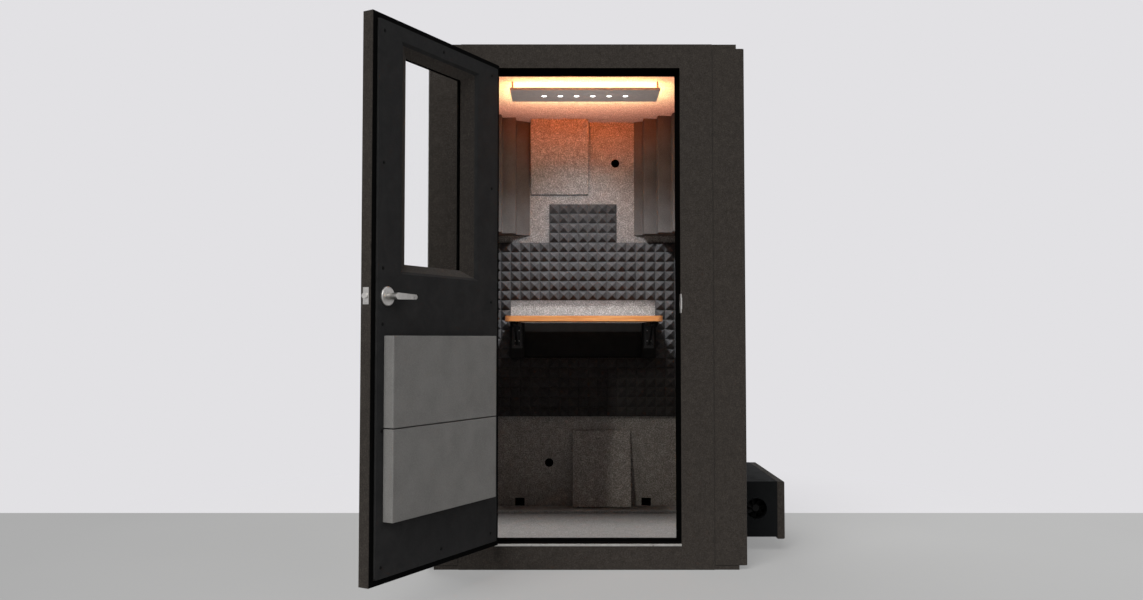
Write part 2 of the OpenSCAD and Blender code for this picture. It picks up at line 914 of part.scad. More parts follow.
module door_lock() {
    color(metal)
        door_place() {
            translate([lever_x, panel_in, lever_z]) rotate([-90, 0, 0]) rose();
            translate([lever_x, front_y, lever_z]) rotate([90, 0, 0]) rose();
            difference() {
                union() {
                    translate([slab_x - plate_t, bolt_y - faceplate_w / 2,
                               lever_z - faceplate_h / 2])
                        cube([plate_t, faceplate_w, faceplate_h]);
                    translate([slab_x - plate_t, bolt_y, lever_z]) rotate([0, -90, 0])
                        cylinder(r = bolt_r + 4, h = bolt_len);
                }
                translate([slab_x + eps, bolt_y, lever_z]) rotate([0, -90, 0])
                    cylinder(r = bolt_r + run_gap, h = bolt_len + 2 * plate_t + 2 * eps);
                for (s = [-1, 1])
                    translate([slab_x + eps, bolt_y, lever_z + s * (faceplate_h / 2 - 7)])
                        rotate([0, -90, 0]) cylinder(r = 2.5, h = plate_t + 2 * eps);
            }
        }
}

module door_screws() {
    free_x = slab_x - screw_free;
    hinge_x = -slab_x + screw_hinge;
    foot = panel_z0 + screw_end;
    rise = panel_z1 - screw_end - foot;
    flare_top = glass_z + glass_h + flare_z;
    color([0.08, 0.08, 0.085])
        door_place() {
            for (x = [hinge_x, free_x])
                for (k = [0, 0.25, 0.75, 1])
                    screw_head(x, foot + k * rise);
            for (s = [-1, 1])
                screw_head(free_x, lever_z + s * screw_latch);
            screw_head(hinge_x, foot + rise / 2);
            screw_head(0, foot);
            screw_head(0, (flare_top + panel_z1) / 2);
        }
}

// A pan-headed screw on the inner panel
module screw_head(x, z) {
    translate([x, panel_in, z]) rotate([-90, 0, 0])
        difference() {
            cylinder(r1 = screw_r, r2 = screw_r - 1, h = screw_h);
            translate([0, 0, screw_h / 2]) cylinder(r = screw_r / 2, h = screw_h, $fn = 6);
        }
}

// A lever with its neck, standing up from the rose on the XY plane, pointing towards -X
module lever_arm() {
    neck_r = 11;
    translate([0, 0, rose_t + side_gap]) cylinder(r = neck_r, h = lever_off - rose_t);
    hull() {
        translate([0, 0, lever_off - lever_t / 2])
            cylinder(r = lever_t / 2 + 3, h = lever_t, $fn = 32);
        translate([-lever_len + lever_t / 2, 0, lever_off - lever_t / 2 + 1])
            cylinder(r = lever_t / 2, h = lever_t - 4, $fn = 32);
    }
}

module lever_set() {
    color(metal)
        door_place()
            translate([lever_x, 0, lever_z]) {
                translate([0, panel_in, 0]) rotate([-90, 0, 0]) lever_arm();
                translate([0, front_y, 0]) rotate([90, 0, 0]) lever_arm();
                translate([0, front_y - rose_t - 2, 0]) rotate([-90, 0, 0])
                    cylinder(r = spindle_r, h = slab_t + panel_t + 2 * rose_t + 4);
            }
}

module latch_bolt() {
    color(metal)
        door_place()
            difference() {
                translate([slab_x + bolt_out, bolt_y, lever_z]) rotate([0, -90, 0])
                    cylinder(r = bolt_r, h = bolt_len);
                translate([slab_x + bolt_out, bolt_y + bolt_r, lever_z]) rotate(45)
                    cube([bolt_out * 1.3, bolt_out * 1.3, 3 * bolt_r], center = true);
            }
}

// Pyramid foam: a square grid of pyramids is where two sets of ridges cross
module pyramids(nx, nz) {
    w = nx * pitch;
    h = nz * pitch;
    intersection() {
        linear_extrude(h) ridges(nx);
        translate([w, 0, 0]) rotate([0, -90, 0]) linear_extrude(w) ridges(nz);
    }
}

// A board of n ridges along X, seen in plan, with its flat back on Y = 0
module ridges(n) {
    crest = -foam_base - pyramid_h;
    polygon(concat(
        [[0, 0], [0, -foam_base]],
        [for (i = [0 : n - 1], j = [0, 1])
            j == 0 ? [(i + 0.5) * pitch, crest] : [(i + 1) * pitch, -foam_base]],
        [[n * pitch, 0]]
    ));
}

module foam_top_block() {
    color(foam_grey)
        translate([-block_cols * pitch / 2, in_y, foam_top_z]) pyramids(block_cols, block_rows);
}

module foam_upper() {
    color(foam_grey)
        translate([-cols * pitch / 2, in_y, cut_z1]) pyramids(cols, tile_rows);
}

module foam_sides() {
    color(foam_grey)
        for (x = [-cols * pitch / 2, cut_x])
            translate([x, in_y, cut_z0]) pyramids(side_cols, tile_rows);
}

module foam_lower() {
    color(foam_grey)
        translate([-cols * pitch / 2, in_y, foam_z]) pyramids(cols, tile_rows);
}

// Stepped corner block: X and Y run out from the corner along the two walls
module trap_outline(reach, first) {
    steps = 3;
    xs = [for (i = [0 : steps - 1]) first - i * trap_step];
    polygon(concat(
        [[0, 0], [reach, 0], [reach, trap_lip]],
        [for (x = xs, out = [-trap_foot, trap_nose])
            [x, min(trap_side, trap_side * (1 - x / reach) + out)]],
        [[0, trap_side]]
    ));
}

module bass_traps() {
    foot = foam_top_z + trap_gap;
    color(foam_mid)
        for (s = [0, 1])
            mirror([s, 0, 0])
                translate([-in_x, in_y, foot])
                    mirror([0, 1, 0]) linear_extrude(ceiling_z - foot)
                        trap_outline(trap_reach[s], trap_first[s]);
}

// A hollow cover over a vent, closed at the top, front and sides, with its air slot below:
// its front stands out d0 at the foot and d1 at the top
module vent_cover(x, z, h, d0, d1) {
    top = h - vent_board;
    d_top = d0 + (d1 - d0) * top / h;
    color(fabric_light)
        translate([x, in_y, z])
            difference() {
                side_plate(-vent_w / 2, vent_w)
                    polygon([[0, 0], [0, h], [-d1, h], [-d0, 0]]);
                side_plate(-vent_w / 2 + vent_board, vent_w - 2 * vent_board)
                    polygon([[eps, -eps], [eps, top], [vent_board - d_top, top],
                             [vent_board - d0, -eps]]);
            }
}

module vent_cover_upper() {
    vent_cover(vent_top_x, vent_top_z, vent_top_h, vent_thin, vent_t);
}

module vent_cover_lower() {
    vent_cover(vent_low_x, vent_low_z, vent_h, vent_t, vent_thin);
}

module cable_ports() {
    flange = 0.8;
    color(black)
        for (p = [[port_top_x, port_top_z], [port_low_x, port_low_z]])
            translate([p[0], in_y - flange, p[1]]) rotate([-90, 0, 0])
                difference() {
                    union() {
                        cylinder(r = port_r + port_wall, h = wall_t + flange);
                        cylinder(r = port_r + 2 * port_wall, h = flange);
                    }
                    translate([0, 0, -eps])
                        cylinder(r = port_r, h = wall_t + flange - port_cap + eps);
                }
}

// Blind outlet boxes at floor level
module floor_ports() {
    rim = 3;
    depth = liner_t + slot_w / 2 - 1;
    color(black)
        for (s = [-1, 1])
            translate([s * slot_x - slot_w / 2, in_y, slot_z - slot_h / 2])
                difference() {
                    cube([slot_w, depth, slot_h]);
                    translate([rim, -eps, rim])
                        cube([slot_w - 2 * rim, depth - rim + eps, slot_h - 2 * rim]);
                }
}

// Two blocks behind the folding brackets, with a thin backing board between them
module desk_wall_blocks() {
    h = desk_z - desk_t - block_gap - block_z;
    inner = block_x - block_w / 2;
    color(black)
        union() {
            for (s = [-1, 1])
                translate([s * block_x - block_w / 2, block_y, block_z])
                    cube([block_w, block_t, h]);
            translate([-inner - eps, in_y - backing_t, block_z])
                cube([2 * inner + 2 * eps, backing_t, h]);
        }
}

// Side plate of a wall leg seen along X: Y runs back from the fold axis, Z up from it
module ear_outline() {
    circle(ear_r);
    translate([0, -strut_drop]) circle(ear_r);
    translate([-ear_r, -strut_drop]) square([ear_r + fold_out, strut_drop]);
    translate([0, -strut_drop - ear_r]) square([fold_out, strut_drop + 2 * ear_r]);
}

// Stands an outline of the YZ plane up with thickness t along X, from x
module side_plate(x, t) {
    translate([x, 0, 0]) rotate([90, 0, 90]) linear_extrude(t) children();
}

// Places what follows at each screw hole of a wall leg, just behind its front, pointing back
module bracket_holes() {
    for (z = leg_screw_z, s = [-1, 1])
        translate([s * leg_screw_x, fold_out - bracket_t, -z]) rotate([-90, 0, 0])
            translate([0, 0, -0.01]) children();
}

module bracket_leg() {
    plate_h = strut_drop + ear_r + 22;
    difference() {
        union() {
            translate([-leg_w / 2, fold_out - bracket_t, ear_r - plate_h])
                cube([leg_w, bracket_t, plate_h]);
            side_plate(ear_x - bracket_t, bracket_t) ear_outline();
            side_plate(-ear_x, bracket_t) ear_outline();
            translate([-arm_x - 1.5, 0, 0]) rotate([0, 90, 0])
                cylinder(r = pivot_r, h = 2 * arm_x + 3);
            translate([-ear_x, 0, -strut_drop]) rotate([0, 90, 0])
                cylinder(r = pivot_r, h = 2 * ear_x);
        }
        bracket_holes() cylinder(r = leg_screw_r, h = bracket_t + eps);
    }
}

module bracket_legs() {
    color([0.1, 0.1, 0.105])
        for (s = [-1, 1])
            translate([s * block_x, fold_y, fold_z]) bracket_leg();
}

module bracket_screws() {
    color(metal)
        for (s = [-1, 1])
            translate([s * block_x, fold_y, fold_z])
                bracket_holes() {
                    cylinder(r = leg_screw_r - 2 * run_gap, h = bracket_t);
                    translate([0, 0, -leg_screw_h])
                        cylinder(r1 = leg_screw_r, r2 = 1.5 * leg_screw_r, h = leg_screw_h);
                }
}

module desk_board() {
    color(wood_tone)
        translate([0, desk_back, desk_z - desk_t])
            linear_extrude(desk_t)
                union() {
                    translate([-desk_w / 2, -desk_d + desk_r]) square([desk_w, desk_d - desk_r]);
                    translate([-desk_w / 2 + desk_r, -desk_d])
                        square([desk_w - 2 * desk_r, desk_r + eps]);
                    for (s = [-1, 1])
                        translate([s * (desk_w / 2 - desk_r), -desk_d + desk_r]) circle(desk_r);
                }
}

// Flange of a desk arm seen along X: it runs forward from the fold axis
module arm_outline() {
    r = ear_r + 1;
    top = fold_drop - 2.5;
    circle(r);
    square([r, top]);
    polygon([[0, -r], [0, fold_drop], [-arm_len, fold_drop], [-arm_len, 2], [-arm_len + 60, -r]]);
}

module desk_arm() {
    difference() {
        union() {
            side_plate(arm_in, bracket_t) arm_outline();
            side_plate(-arm_x, bracket_t) arm_outline();
            translate([-arm_x, -arm_len, fold_drop - 2.5]) cube([2 * arm_x, arm_len, 2.5]);
        }
        rotate([0, 90, 0]) cylinder(r = pivot_r + run_gap, h = 2 * arm_x + 2 * eps, center = true);
    }
}

module desk_arms() {
    color([0.1, 0.1, 0.105])
        for (s = [-1, 1])
            translate([s * block_x, fold_y, fold_z]) desk_arm();
}

// Strut of a folding bracket, drawn level from its lower pivot and then raised
module strut(s) {
    r = ear_r - 1;
    color([0.1, 0.1, 0.105])
        translate([s * block_x, fold_y, fold_z - strut_drop])
            rotate([-strut_a, 0, 0])
                difference() {
                    union() {
                        side_plate(-strut_hw, 2 * strut_hw) union() {
                            circle(r);
                            translate([-strut_len, 0]) circle(r);
                            translate([-strut_len, -r * 0.75]) square([strut_len, r * 1.5]);
                        }
                        translate([0, -strut_len, 0]) rotate([0, 90, 0])
                            cylinder(r = pivot_r, h = 2 * (ear_x - bracket_t), center = true);
                    }
                    rotate([0, 90, 0])
                        cylinder(r = pivot_r + run_gap, h = 3 * strut_hw, center = true);
                }
}

module strut_left() {
    strut(-1);
}

module strut_right() {
    strut(1);
}

// Places what follows at each corner of the light bar, set in by m
module light_corners(m) {
    for (sx = [-1, 1])
        for (sy = [-1, 1])
            translate([sx * (light_w / 2 - m), light_y + sy * (light_d / 2 - m), 0]) children();
}

module spot_places() {
    for (i = [0 : spot_count - 1])
        translate([(i - (spot_count - 1) / 2) * spot_pitch, light_y, light_z]) children();
}

module light_housing() {
    lip = light_lip;
    color(metal) {
        difference() {
            span([-light_w / 2, light_y - light_d / 2, light_z],
                 [light_w / 2, light_y + light_d / 2, light_z + light_t]);
            span([-light_w / 2 + lip, light_y - light_d / 2 + lip, light_z + lip],
                 [light_w / 2 - lip, light_y + light_d / 2 - lip, light_z + light_t + eps]);
            spot_places() translate([0, 0, -eps]) cylinder(r = spot_r, h = light_t);
        }
        light_corners(12) translate([0, 0, light_z + lip])
            cylinder(r = 5, h = light_t - lip + light_gap);
    }
}

module light_spots() {
    bezel = 3;
    color([1, 0.98, 0.92])
        spot_places() {
            translate([0, 0, 0.6]) cylinder(r = spot_r, h = 8);
            difference() {
                translate([0, 0, -1.2]) cylinder(r = spot_r + bezel, h = 1.2);
                translate([0, 0, -1.2 - eps]) cylinder(r = spot_r, h = 3);
            }
            difference() {
                translate([0, 0, -0.1]) cylinder(r = spot_r, h = 0.8);
                translate([0, 0, -eps]) cylinder(r = spot_r - 1, h = 3);
            }
        }
}

module led_strip() {
    z = light_z + light_lip;
    x = light_w / 2 - led_inset;
    y = light_d / 2 - led_inset;
    color([1, 0.75, 0.4])
        difference() {
            span([-x, light_y - y, z], [x, light_y + y, z + led_t]);
            span([-x + led_w, light_y - y + led_w, z - eps],
                 [x - led_w, light_y + y - led_w, z + led_t + eps]);
        }
}

module silencer_box() {
    b = box_board;
    color(black)
        difference() {
            span([box_x, -box_y, box_z], [box_x + box_w, box_y, box_z + box_h]);
            span([box_x - eps, -box_y + b, box_z + b],
                 [box_x + box_w + eps, box_y - b, box_z + box_h - b]);
            translate([fan_x, -box_y - eps, duct_port_z]) rotate([-90, 0, 0])
                cylinder(r = duct_port_r, h = b + 2 * eps, $fn = 64);
        }
}

module silencer_cover() {
    c = 3;
    color(fabric_dark)
        translate([box_x + box_w, box_y, 0]) rotate([90, 0, 0])
            linear_extrude(box_l)
                polygon([
                    [0, box_z - cover_drop], [cover_t - c, box_z - cover_drop],
                    [cover_t, box_z - cover_drop + c], [cover_t, box_z + box_h - c],
                    [cover_t - c, box_z + box_h], [0, box_z + box_h]
                ]);
}

// Two boards inside the silencer that make the air turn twice
module silencer_baffles() {
    b = box_board;
    way = 55;
    z0 = box_z + b;
    z1 = box_z + box_h - b;
    color(foam_mid) {
        span([box_x, -box_y / 3 - 15, z0], [box_x + box_w - way, -box_y / 3 + 15, z1]);
        span([box_x + way, box_y / 4 - 15, z0], [box_x + box_w, box_y / 4 + 15, z1]);
    }
}

module fan_frame() {
    side = 2 * duct_port_r + 14;
    ring_r = fan_r + 1.5;
    hub_r = 14;
    translate([fan_x, fan_y, duct_port_z]) rotate([-90, 0, 0])
        color(black) {
            difference() {
                translate([-side / 2, -side / 2, 0]) cube([side, side, fan_d]);
                translate([0, 0, -eps]) cylinder(r = ring_r, h = fan_d + 2 * eps, $fn = 64);
            }
            translate([0, 0, fan_d - 5]) cylinder(r = hub_r, h = 5);
            for (a = [0 : 90 : 270])
                rotate(a) translate([0, -2.5, fan_d - 5]) cube([ring_r + 2, 5, 5]);
            translate([0, 0, 8]) cylinder(r = fan_shaft_r, h = fan_d - 8);
        }
}

// Fan rotor: a hub turning on the frame's stub shaft, with pitched blades
module fan_rotor() {
    hub_r = 15;
    z0 = 5;
    z1 = fan_d - 6;
    color([0.12, 0.12, 0.125])
        translate([fan_x, fan_y, duct_port_z]) rotate([-90, 0, 0])
            difference() {
                union() {
                    translate([0, 0, z0]) cylinder(r = hub_r, h = z1 - z0);
                    intersection() {
                        for (i = [0 : fan_blades - 1])
                            rotate(i * 360 / fan_blades)
                                translate([0, 0, (z0 + z1) / 2]) rotate([38, 0, 0])
                                    translate([hub_r - 2, -12, -1])
                                        cube([fan_r - hub_r + 6, 24, 2]);
                        translate([0, 0, z0]) cylinder(r = fan_r, h = z1 - z0, $fn = 64);
                    }
                }
                translate([0, 0, z0 + 2]) cylinder(r = fan_shaft_r + run_gap, h = fan_d);
            }
}

// Sleeve through the right wall, with a flange inside the cabin
module wall_duct() {
    t = 3;
    flange = 4;
    lap = 18;
    h = pass_w / 2;
    color(black)
        difference() {
            union() {
                span([in_x, pass_y - h, pass_z - h], [cabin_w / 2, pass_y + h, pass_z + h]);
                span([in_x - flange, pass_y - h - lap, pass_z - h - lap],
                     [in_x, pass_y + h + lap, pass_z + h + lap]);
            }
            span([in_x - flange - eps, pass_y - h + t, pass_z - h + t],
                 [cabin_w / 2 + eps, pass_y + h - t, pass_z + h - t]);
        }
}

// Louvred grille over each duct on the outside of the back wall
module rear_grilles() {
    lap = 14;
    t = 6;
    y0 = cabin_d / 2;
    slat_pitch = duct_h / slat_count;
    color(black)
        for (d = [[vent_top_x, duct_top_z], [vent_low_x, duct_low_z]])
            translate([d[0] - duct_w / 2, y0, d[1]]) {
                difference() {
                    translate([-lap, 0, -lap]) cube([duct_w + 2 * lap, t, duct_h + 2 * lap]);
                    translate([0, -eps, 0]) cube([duct_w, t + 2 * eps, duct_h]);
                }
                intersection() {
                    for (i = [0 : slat_count])
                        translate([-eps, t / 2, i * slat_pitch]) rotate([-35, 0, 0])
                            translate([0, -6, -0.8]) cube([duct_w + 2 * eps, 12, 1.6]);
                    translate([-2 * eps, 0, -2]) cube([duct_w + 4 * eps, t, duct_h + 4]);
                }
            }
}

floor_panel();
floor_carpet();
back_ledge();
roof_panel();
ceiling_liner();
front_core();
back_core();
left_core();
right_core();
front_skin();
back_skin();
left_skin();
right_skin();
corner_strips();
front_liner();
back_liner();
left_liner();
right_liner();
door_frame();
threshold_strip();
strike_plate();
frame_hinges();
foam_top_block();
foam_upper();
foam_sides();
foam_lower();
bass_traps();
vent_cover_upper();
vent_cover_lower();
cable_ports();
floor_ports();
desk_wall_blocks();
bracket_legs();
bracket_screws();
light_housing();
light_spots();
led_strip();
silencer_box();
silencer_cover();
silencer_baffles();
fan_frame();
wall_duct();
rear_grilles();
door_slab();
door_panel();
door_seal();
window_glass();
window_trim();
door_foam_upper();
door_foam_lower();
door_lock();
door_hinges();
door_screws();
lever_set();
latch_bolt();
desk_board();
desk_arms();
strut_left();
strut_right();
fan_rotor();
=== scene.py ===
"""Looks of the vocal booth: materials, soft pieces, small fasteners, light, floor and camera.

Lengths are in metres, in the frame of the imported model: X to the right, Y away from the
doorway, Z up, with the origin on the ground under the middle of the cabin.
"""
import math

import bmesh
import bpy
from mathutils import Matrix, Vector


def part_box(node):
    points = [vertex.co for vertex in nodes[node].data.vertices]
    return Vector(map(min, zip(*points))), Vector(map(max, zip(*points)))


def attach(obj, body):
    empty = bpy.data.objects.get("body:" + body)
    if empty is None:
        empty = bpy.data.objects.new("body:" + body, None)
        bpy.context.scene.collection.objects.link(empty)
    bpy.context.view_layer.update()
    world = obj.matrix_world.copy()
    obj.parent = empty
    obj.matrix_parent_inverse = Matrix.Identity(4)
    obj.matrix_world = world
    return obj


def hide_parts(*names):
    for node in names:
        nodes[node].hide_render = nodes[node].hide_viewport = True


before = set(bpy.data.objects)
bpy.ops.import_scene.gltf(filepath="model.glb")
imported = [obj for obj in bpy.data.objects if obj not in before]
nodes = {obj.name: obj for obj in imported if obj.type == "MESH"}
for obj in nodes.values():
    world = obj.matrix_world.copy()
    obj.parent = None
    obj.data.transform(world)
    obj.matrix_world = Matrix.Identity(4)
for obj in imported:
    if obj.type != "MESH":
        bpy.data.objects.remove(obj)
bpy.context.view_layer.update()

MM = 0.001
SAME_POINT = 0.02 * MM
SAME_PLANE = math.radians(0.6)
SPOT_COUNT = 6
SPOT_RADIUS = 14 * MM
FLOOR_REACH = 14.0
FLOOR_EDGE_Y = 0.60


# Shader helpers

def srgb(*levels):
    """Linear colour from 0-255 sRGB levels; a single level is a grey."""
    if len(levels) == 1:
        levels = levels * 3
    linear = []
    for level in levels:
        c = level / 255
        linear.append(c / 12.92 if c <= 0.04045 else ((c + 0.055) / 1.055) ** 2.4)
    return (*linear, 1.0)


def start_material(name):
    """A new material with its node tree and its Principled shader."""
    mat = bpy.data.materials.new(name)
    mat.use_nodes = True
    tree = mat.node_tree
    return mat, tree, tree.nodes["Principled BSDF"]


def place(tree, stretch=(1, 1, 1), turn=(0, 0, 0)):
    """Object coordinates, stretched and turned."""
    coords = tree.nodes.new("ShaderNodeTexCoord")
    mapping = tree.nodes.new("ShaderNodeMapping")
    mapping.inputs["Scale"].default_value = stretch
    mapping.inputs["Rotation"].default_value = turn
    tree.links.new(coords.outputs["Object"], mapping.inputs["Vector"])
    return mapping.outputs["Vector"]


def place_xy(tree):
    """Object coordinates along X and Y."""
    split = tree.nodes.new("ShaderNodeSeparateXYZ")
    tree.links.new(place(tree), split.inputs[0])
    return split.outputs["X"], split.outputs["Y"]


def noise(tree, size, detail=3.0, rough=0.6, stretch=(1, 1, 1), turn=(0, 0, 0), warp=0.0):
    """Noise whose features are about size metres across."""
    tex = tree.nodes.new("ShaderNodeTexNoise")
    tex.inputs["Scale"].default_value = 1 / size
    tex.inputs["Detail"].default_value = detail
    tex.inputs["Roughness"].default_value = rough
    tex.inputs["Distortion"].default_value = warp
    tree.links.new(place(tree, stretch, turn), tex.inputs["Vector"])
    return tex.outputs["Fac"]


def cells(tree, size, stretch=(1, 1, 1)):
    """Distance to the nearest of scattered points about size metres apart."""
    tex = tree.nodes.new("ShaderNodeTexVoronoi")
    tex.feature = "F1"
    tex.inputs["Scale"].default_value = 1 / size
    tree.links.new(place(tree, stretch), tex.inputs["Vector"])
    return tex.outputs["Distance"]


def math_node(tree, op, a, b=None, clamp=False):
    """The result of one operation on a and b, which are numbers or outputs."""
    node = tree.nodes.new("ShaderNodeMath")
    node.operation = op
    node.use_clamp = clamp
    for socket, value in zip(node.inputs, (a, b)):
        if isinstance(value, (int, float)):
            socket.default_value = value
        elif value is not None:
            tree.links.new(value, socket)
    return node.outputs[0]


def map_range(tree, value, start, end, to_start=0.0, to_end=1.0, kind="LINEAR"):
    """value, scaled so that start becomes to_start and end becomes to_end."""
    node = tree.nodes.new("ShaderNodeMapRange")
    node.interpolation_type = kind
    node.inputs["From Min"].default_value = start
    node.inputs["From Max"].default_value = end
    node.inputs["To Min"].default_value = to_start
    node.inputs["To Max"].default_value = to_end
    tree.links.new(value, node.inputs["Value"])
    return node.outputs["Result"]


def blend(tree, layers):
    """Weighted sum of [(output, weight), ...]."""
    total = None
    for out, weight in layers:
        part = math_node(tree, "MULTIPLY", out, weight)
        total = part if total is None else math_node(tree, "ADD", total, part)
    return total


def ramp(tree, fac, stops):
    """Colour ramp with stops [(position, colour), ...]."""
    node = tree.nodes.new("ShaderNodeValToRGB")
    elements = node.color_ramp.elements
    while len(elements) < len(stops):
        elements.new(0.5)
    for element, (position, colour) in zip(elements, stops):
        element.position = position
        element.color = colour
    tree.links.new(fac, node.inputs["Fac"])
    return node.outputs["Color"]


def mix_shaders(tree, share, first, second):
    """The first shader where share is 0 and the second where it is 1."""
    mix = tree.nodes.new("ShaderNodeMixShader")
    for socket, out in zip(mix.inputs, (share, first, second)):
        tree.links.new(out, socket)
    return mix.outputs[0]


def finish(tree, shader, colour, relief, depth, rough=(0.7, 0.9), rough_by=None):
    """Links colour, roughness and bump to the shader."""
    tree.links.new(colour, shader.inputs["Base Color"])
    rough_source = relief if rough_by is None else rough_by
    tree.links.new(map_range(tree, rough_source, 0.3, 0.7, *rough), shader.inputs["Roughness"])
    bump = tree.nodes.new("ShaderNodeBump")
    bump.inputs["Distance"].default_value = depth
    tree.links.new(relief, bump.inputs["Height"])
    tree.links.new(bump.outputs["Normal"], shader.inputs["Normal"])


def uniform(shader, **values):
    """Values that are the same all over, set on the shader's own sockets."""
    for name, value in values.items():
        shader.inputs[name.replace("_", " ")].default_value = value


# Materials

def felt(name, dark, mid, light, depth=0.8 * MM, fleck=6 * MM):
    """Needle-felt fabric: crossing fibres, small flecks and a little soft mottling."""
    mat, tree, shader = start_material(name)
    fibre_a = noise(tree, 5 * MM, detail=4, rough=0.7, stretch=(1, 1, 0.3), turn=(0, 0.5, 0.4),
                    warp=1.2)
    fibre_b = noise(tree, 4 * MM, detail=4, rough=0.7, stretch=(0.35, 0.35, 1),
                    turn=(0, -0.6, 0.2), warp=1.0)
    speck = noise(tree, fleck, rough=0.65)
    mottle = noise(tree, 26 * MM, rough=0.55)
    relief = blend(tree, [(fibre_a, 0.4), (fibre_b, 0.35), (speck, 0.25)])
    tone = blend(tree, [(relief, 0.5), (speck, 0.38), (mottle, 0.12)])
    colour = ramp(tree, tone, [(0.36, dark), (0.5, mid), (0.62, light)])
    finish(tree, shader, colour, relief, depth, rough=(0.88, 1.0))
    uniform(shader, Sheen_Weight=0.08, Sheen_Roughness=0.5, Specular_IOR_Level=0.05)
    return mat


def foam(name, dark, light):
    """Open-cell foam: fine pores over slow changes of tone."""
    mat, tree, shader = start_material(name)
    pore = 1.6 * MM
    pores = cells(tree, pore)
    grain = noise(tree, 3 * pore)
    slow = noise(tree, 90 * MM, detail=2, rough=0.5)
    relief = blend(tree, [(pores, 0.6), (grain, 0.4)])
    tone = blend(tree, [(pores, 0.35), (grain, 0.35), (slow, 0.3)])
    colour = ramp(tree, tone, [(0.32, dark), (0.6, light)])
    finish(tree, shader, colour, relief, 0.5 * MM, rough=(0.9, 1.0))
    uniform(shader, Sheen_Weight=0.04, Sheen_Roughness=0.6, Specular_IOR_Level=0.05)
    return mat


def moulded(name, dark, light, rough, grain=0.9 * MM, depth=0.12 * MM, gloss=0.5):
    """Moulded plastic, rubber or painted board with a fine grain and slight handling marks."""
    mat, tree, shader = start_material(name)
    fine = noise(tree, grain)
    smudge = noise(tree, 60 * MM, detail=4, warp=0.6)
    colour = ramp(tree, blend(tree, [(fine, 0.5), (smudge, 0.5)]), [(0.35, dark), (0.65, light)])
    finish(tree, shader, colour, fine, depth, rough, smudge)
    uniform(shader, Specular_IOR_Level=gloss)
    return mat


def brushed(name, dark, light, rough, stretch, metallic=1.0):
    """Satin metal with brushing along one direction."""
    mat, tree, shader = start_material(name)
    brush = noise(tree, 0.8 * MM, detail=4, rough=0.7, stretch=stretch)
    wear = noise(tree, 25 * MM, detail=4, warp=0.4)
    colour = ramp(tree, blend(tree, [(brush, 0.55), (wear, 0.45)]), [(0.35, dark), (0.65, light)])
    finish(tree, shader, colour, brush, 0.05 * MM, rough, wear)
    uniform(shader, Metallic=metallic)
    return mat


def board(name, dark, light):
    """Particle board: chips and pale binder."""
    mat, tree, shader = start_material(name)
    chips = cells(tree, 6 * MM, stretch=(1, 1, 2))
    fine = noise(tree, 2 * MM)
    tone = blend(tree, [(chips, 0.6), (fine, 0.5)])
    finish(tree, shader, ramp(tree, tone, [(0.3, dark), (0.8, light)]), fine, 0.2 * MM)
    return mat


def staves(name, dark, mid, light):
    """Wood glued up from staves that run along X, each with its own tone, under clear oil."""
    mat, tree, shader = start_material(name)
    stave = 42 * MM
    _, y = place_xy(tree)
    row = math_node(tree, "FLOOR", math_node(tree, "DIVIDE", y, stave))
    pick = tree.nodes.new("ShaderNodeTexWhiteNoise")
    pick.noise_dimensions = "1D"
    tree.links.new(row, pick.inputs["W"])
    grain = noise(tree, 9 * MM, detail=6, rough=0.65, stretch=(0.06, 1, 1), warp=0.8)
    streak = noise(tree, 2 * MM, detail=4, rough=0.7, stretch=(0.03, 1, 1))
    tone = blend(tree, [(grain, 0.5), (streak, 0.28), (pick.outputs["Value"], 0.22)])
    colour = ramp(tree, tone, [(0.3, dark), (0.5, mid), (0.68, light)])
    finish(tree, shader, colour, streak, 0.08 * MM, (0.35, 0.55), grain)
    uniform(shader, Coat_Weight=0.15, Coat_Roughness=0.3)
    return mat


def glow(name, tint, body):
    """Faintly frosted plastic that gives off its own light, with its tree and shader."""
    mat, tree, shader = start_material(name)
    frost = noise(tree, 1.5 * MM)
    colour = ramp(tree, frost, [(0.3, body), (0.7, srgb(250))])
    finish(tree, shader, colour, frost, 0.1 * MM, rough=(0.3, 0.5))
    uniform(shader, Emission_Color=tint)
    return mat, tree, shader


def spot_row():
    """The x of the first spot and the distance from spot to spot."""
    low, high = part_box("light_spots")
    return low.x + SPOT_RADIUS, (high.x - low.x - 2 * SPOT_RADIUS) / (SPOT_COUNT - 1)


def lenses_with_painted_halo(name):
    """A row of round lenses, each bright in its middle and dim at its rim, with a dim glow left
    over the whole spot, bezel too, as a painted halo.
    """
    mat, tree, shader = glow(name, (1.0, 0.97, 0.95, 1), srgb(225))
    first, pitch = spot_row()
    low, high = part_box("light_spots")
    x, y = place_xy(tree)
    row = math_node(tree, "DIVIDE", math_node(tree, "SUBTRACT", x, first), pitch)
    off_x = math_node(tree, "SUBTRACT", row, math_node(tree, "ROUND", row))
    off_y = math_node(tree, "SUBTRACT", y, (low.y + high.y) / 2)
    square_x = math_node(tree, "POWER", math_node(tree, "MULTIPLY", off_x, pitch / SPOT_RADIUS), 2)
    square_y = math_node(tree, "POWER", math_node(tree, "DIVIDE", off_y, SPOT_RADIUS), 2)
    # Past the bright middle the glow keeps a dim floor over the rest of the spot, bezel included: a
    # painted halo.
    level = map_range(tree, math_node(tree, "ADD", square_x, square_y), 0.0, 0.75,
                      to_start=12.0, to_end=0.25, kind="SMOOTHSTEP")
    tree.links.new(level, shader.inputs["Emission Strength"])
    return mat


def lit_strip(name):
    """A light strip, equally bright all along."""
    mat, _, shader = glow(name, (1.0, 0.62, 0.25, 1), srgb(235, 205, 150))
    uniform(shader, Emission_Strength=16.0)
    return mat


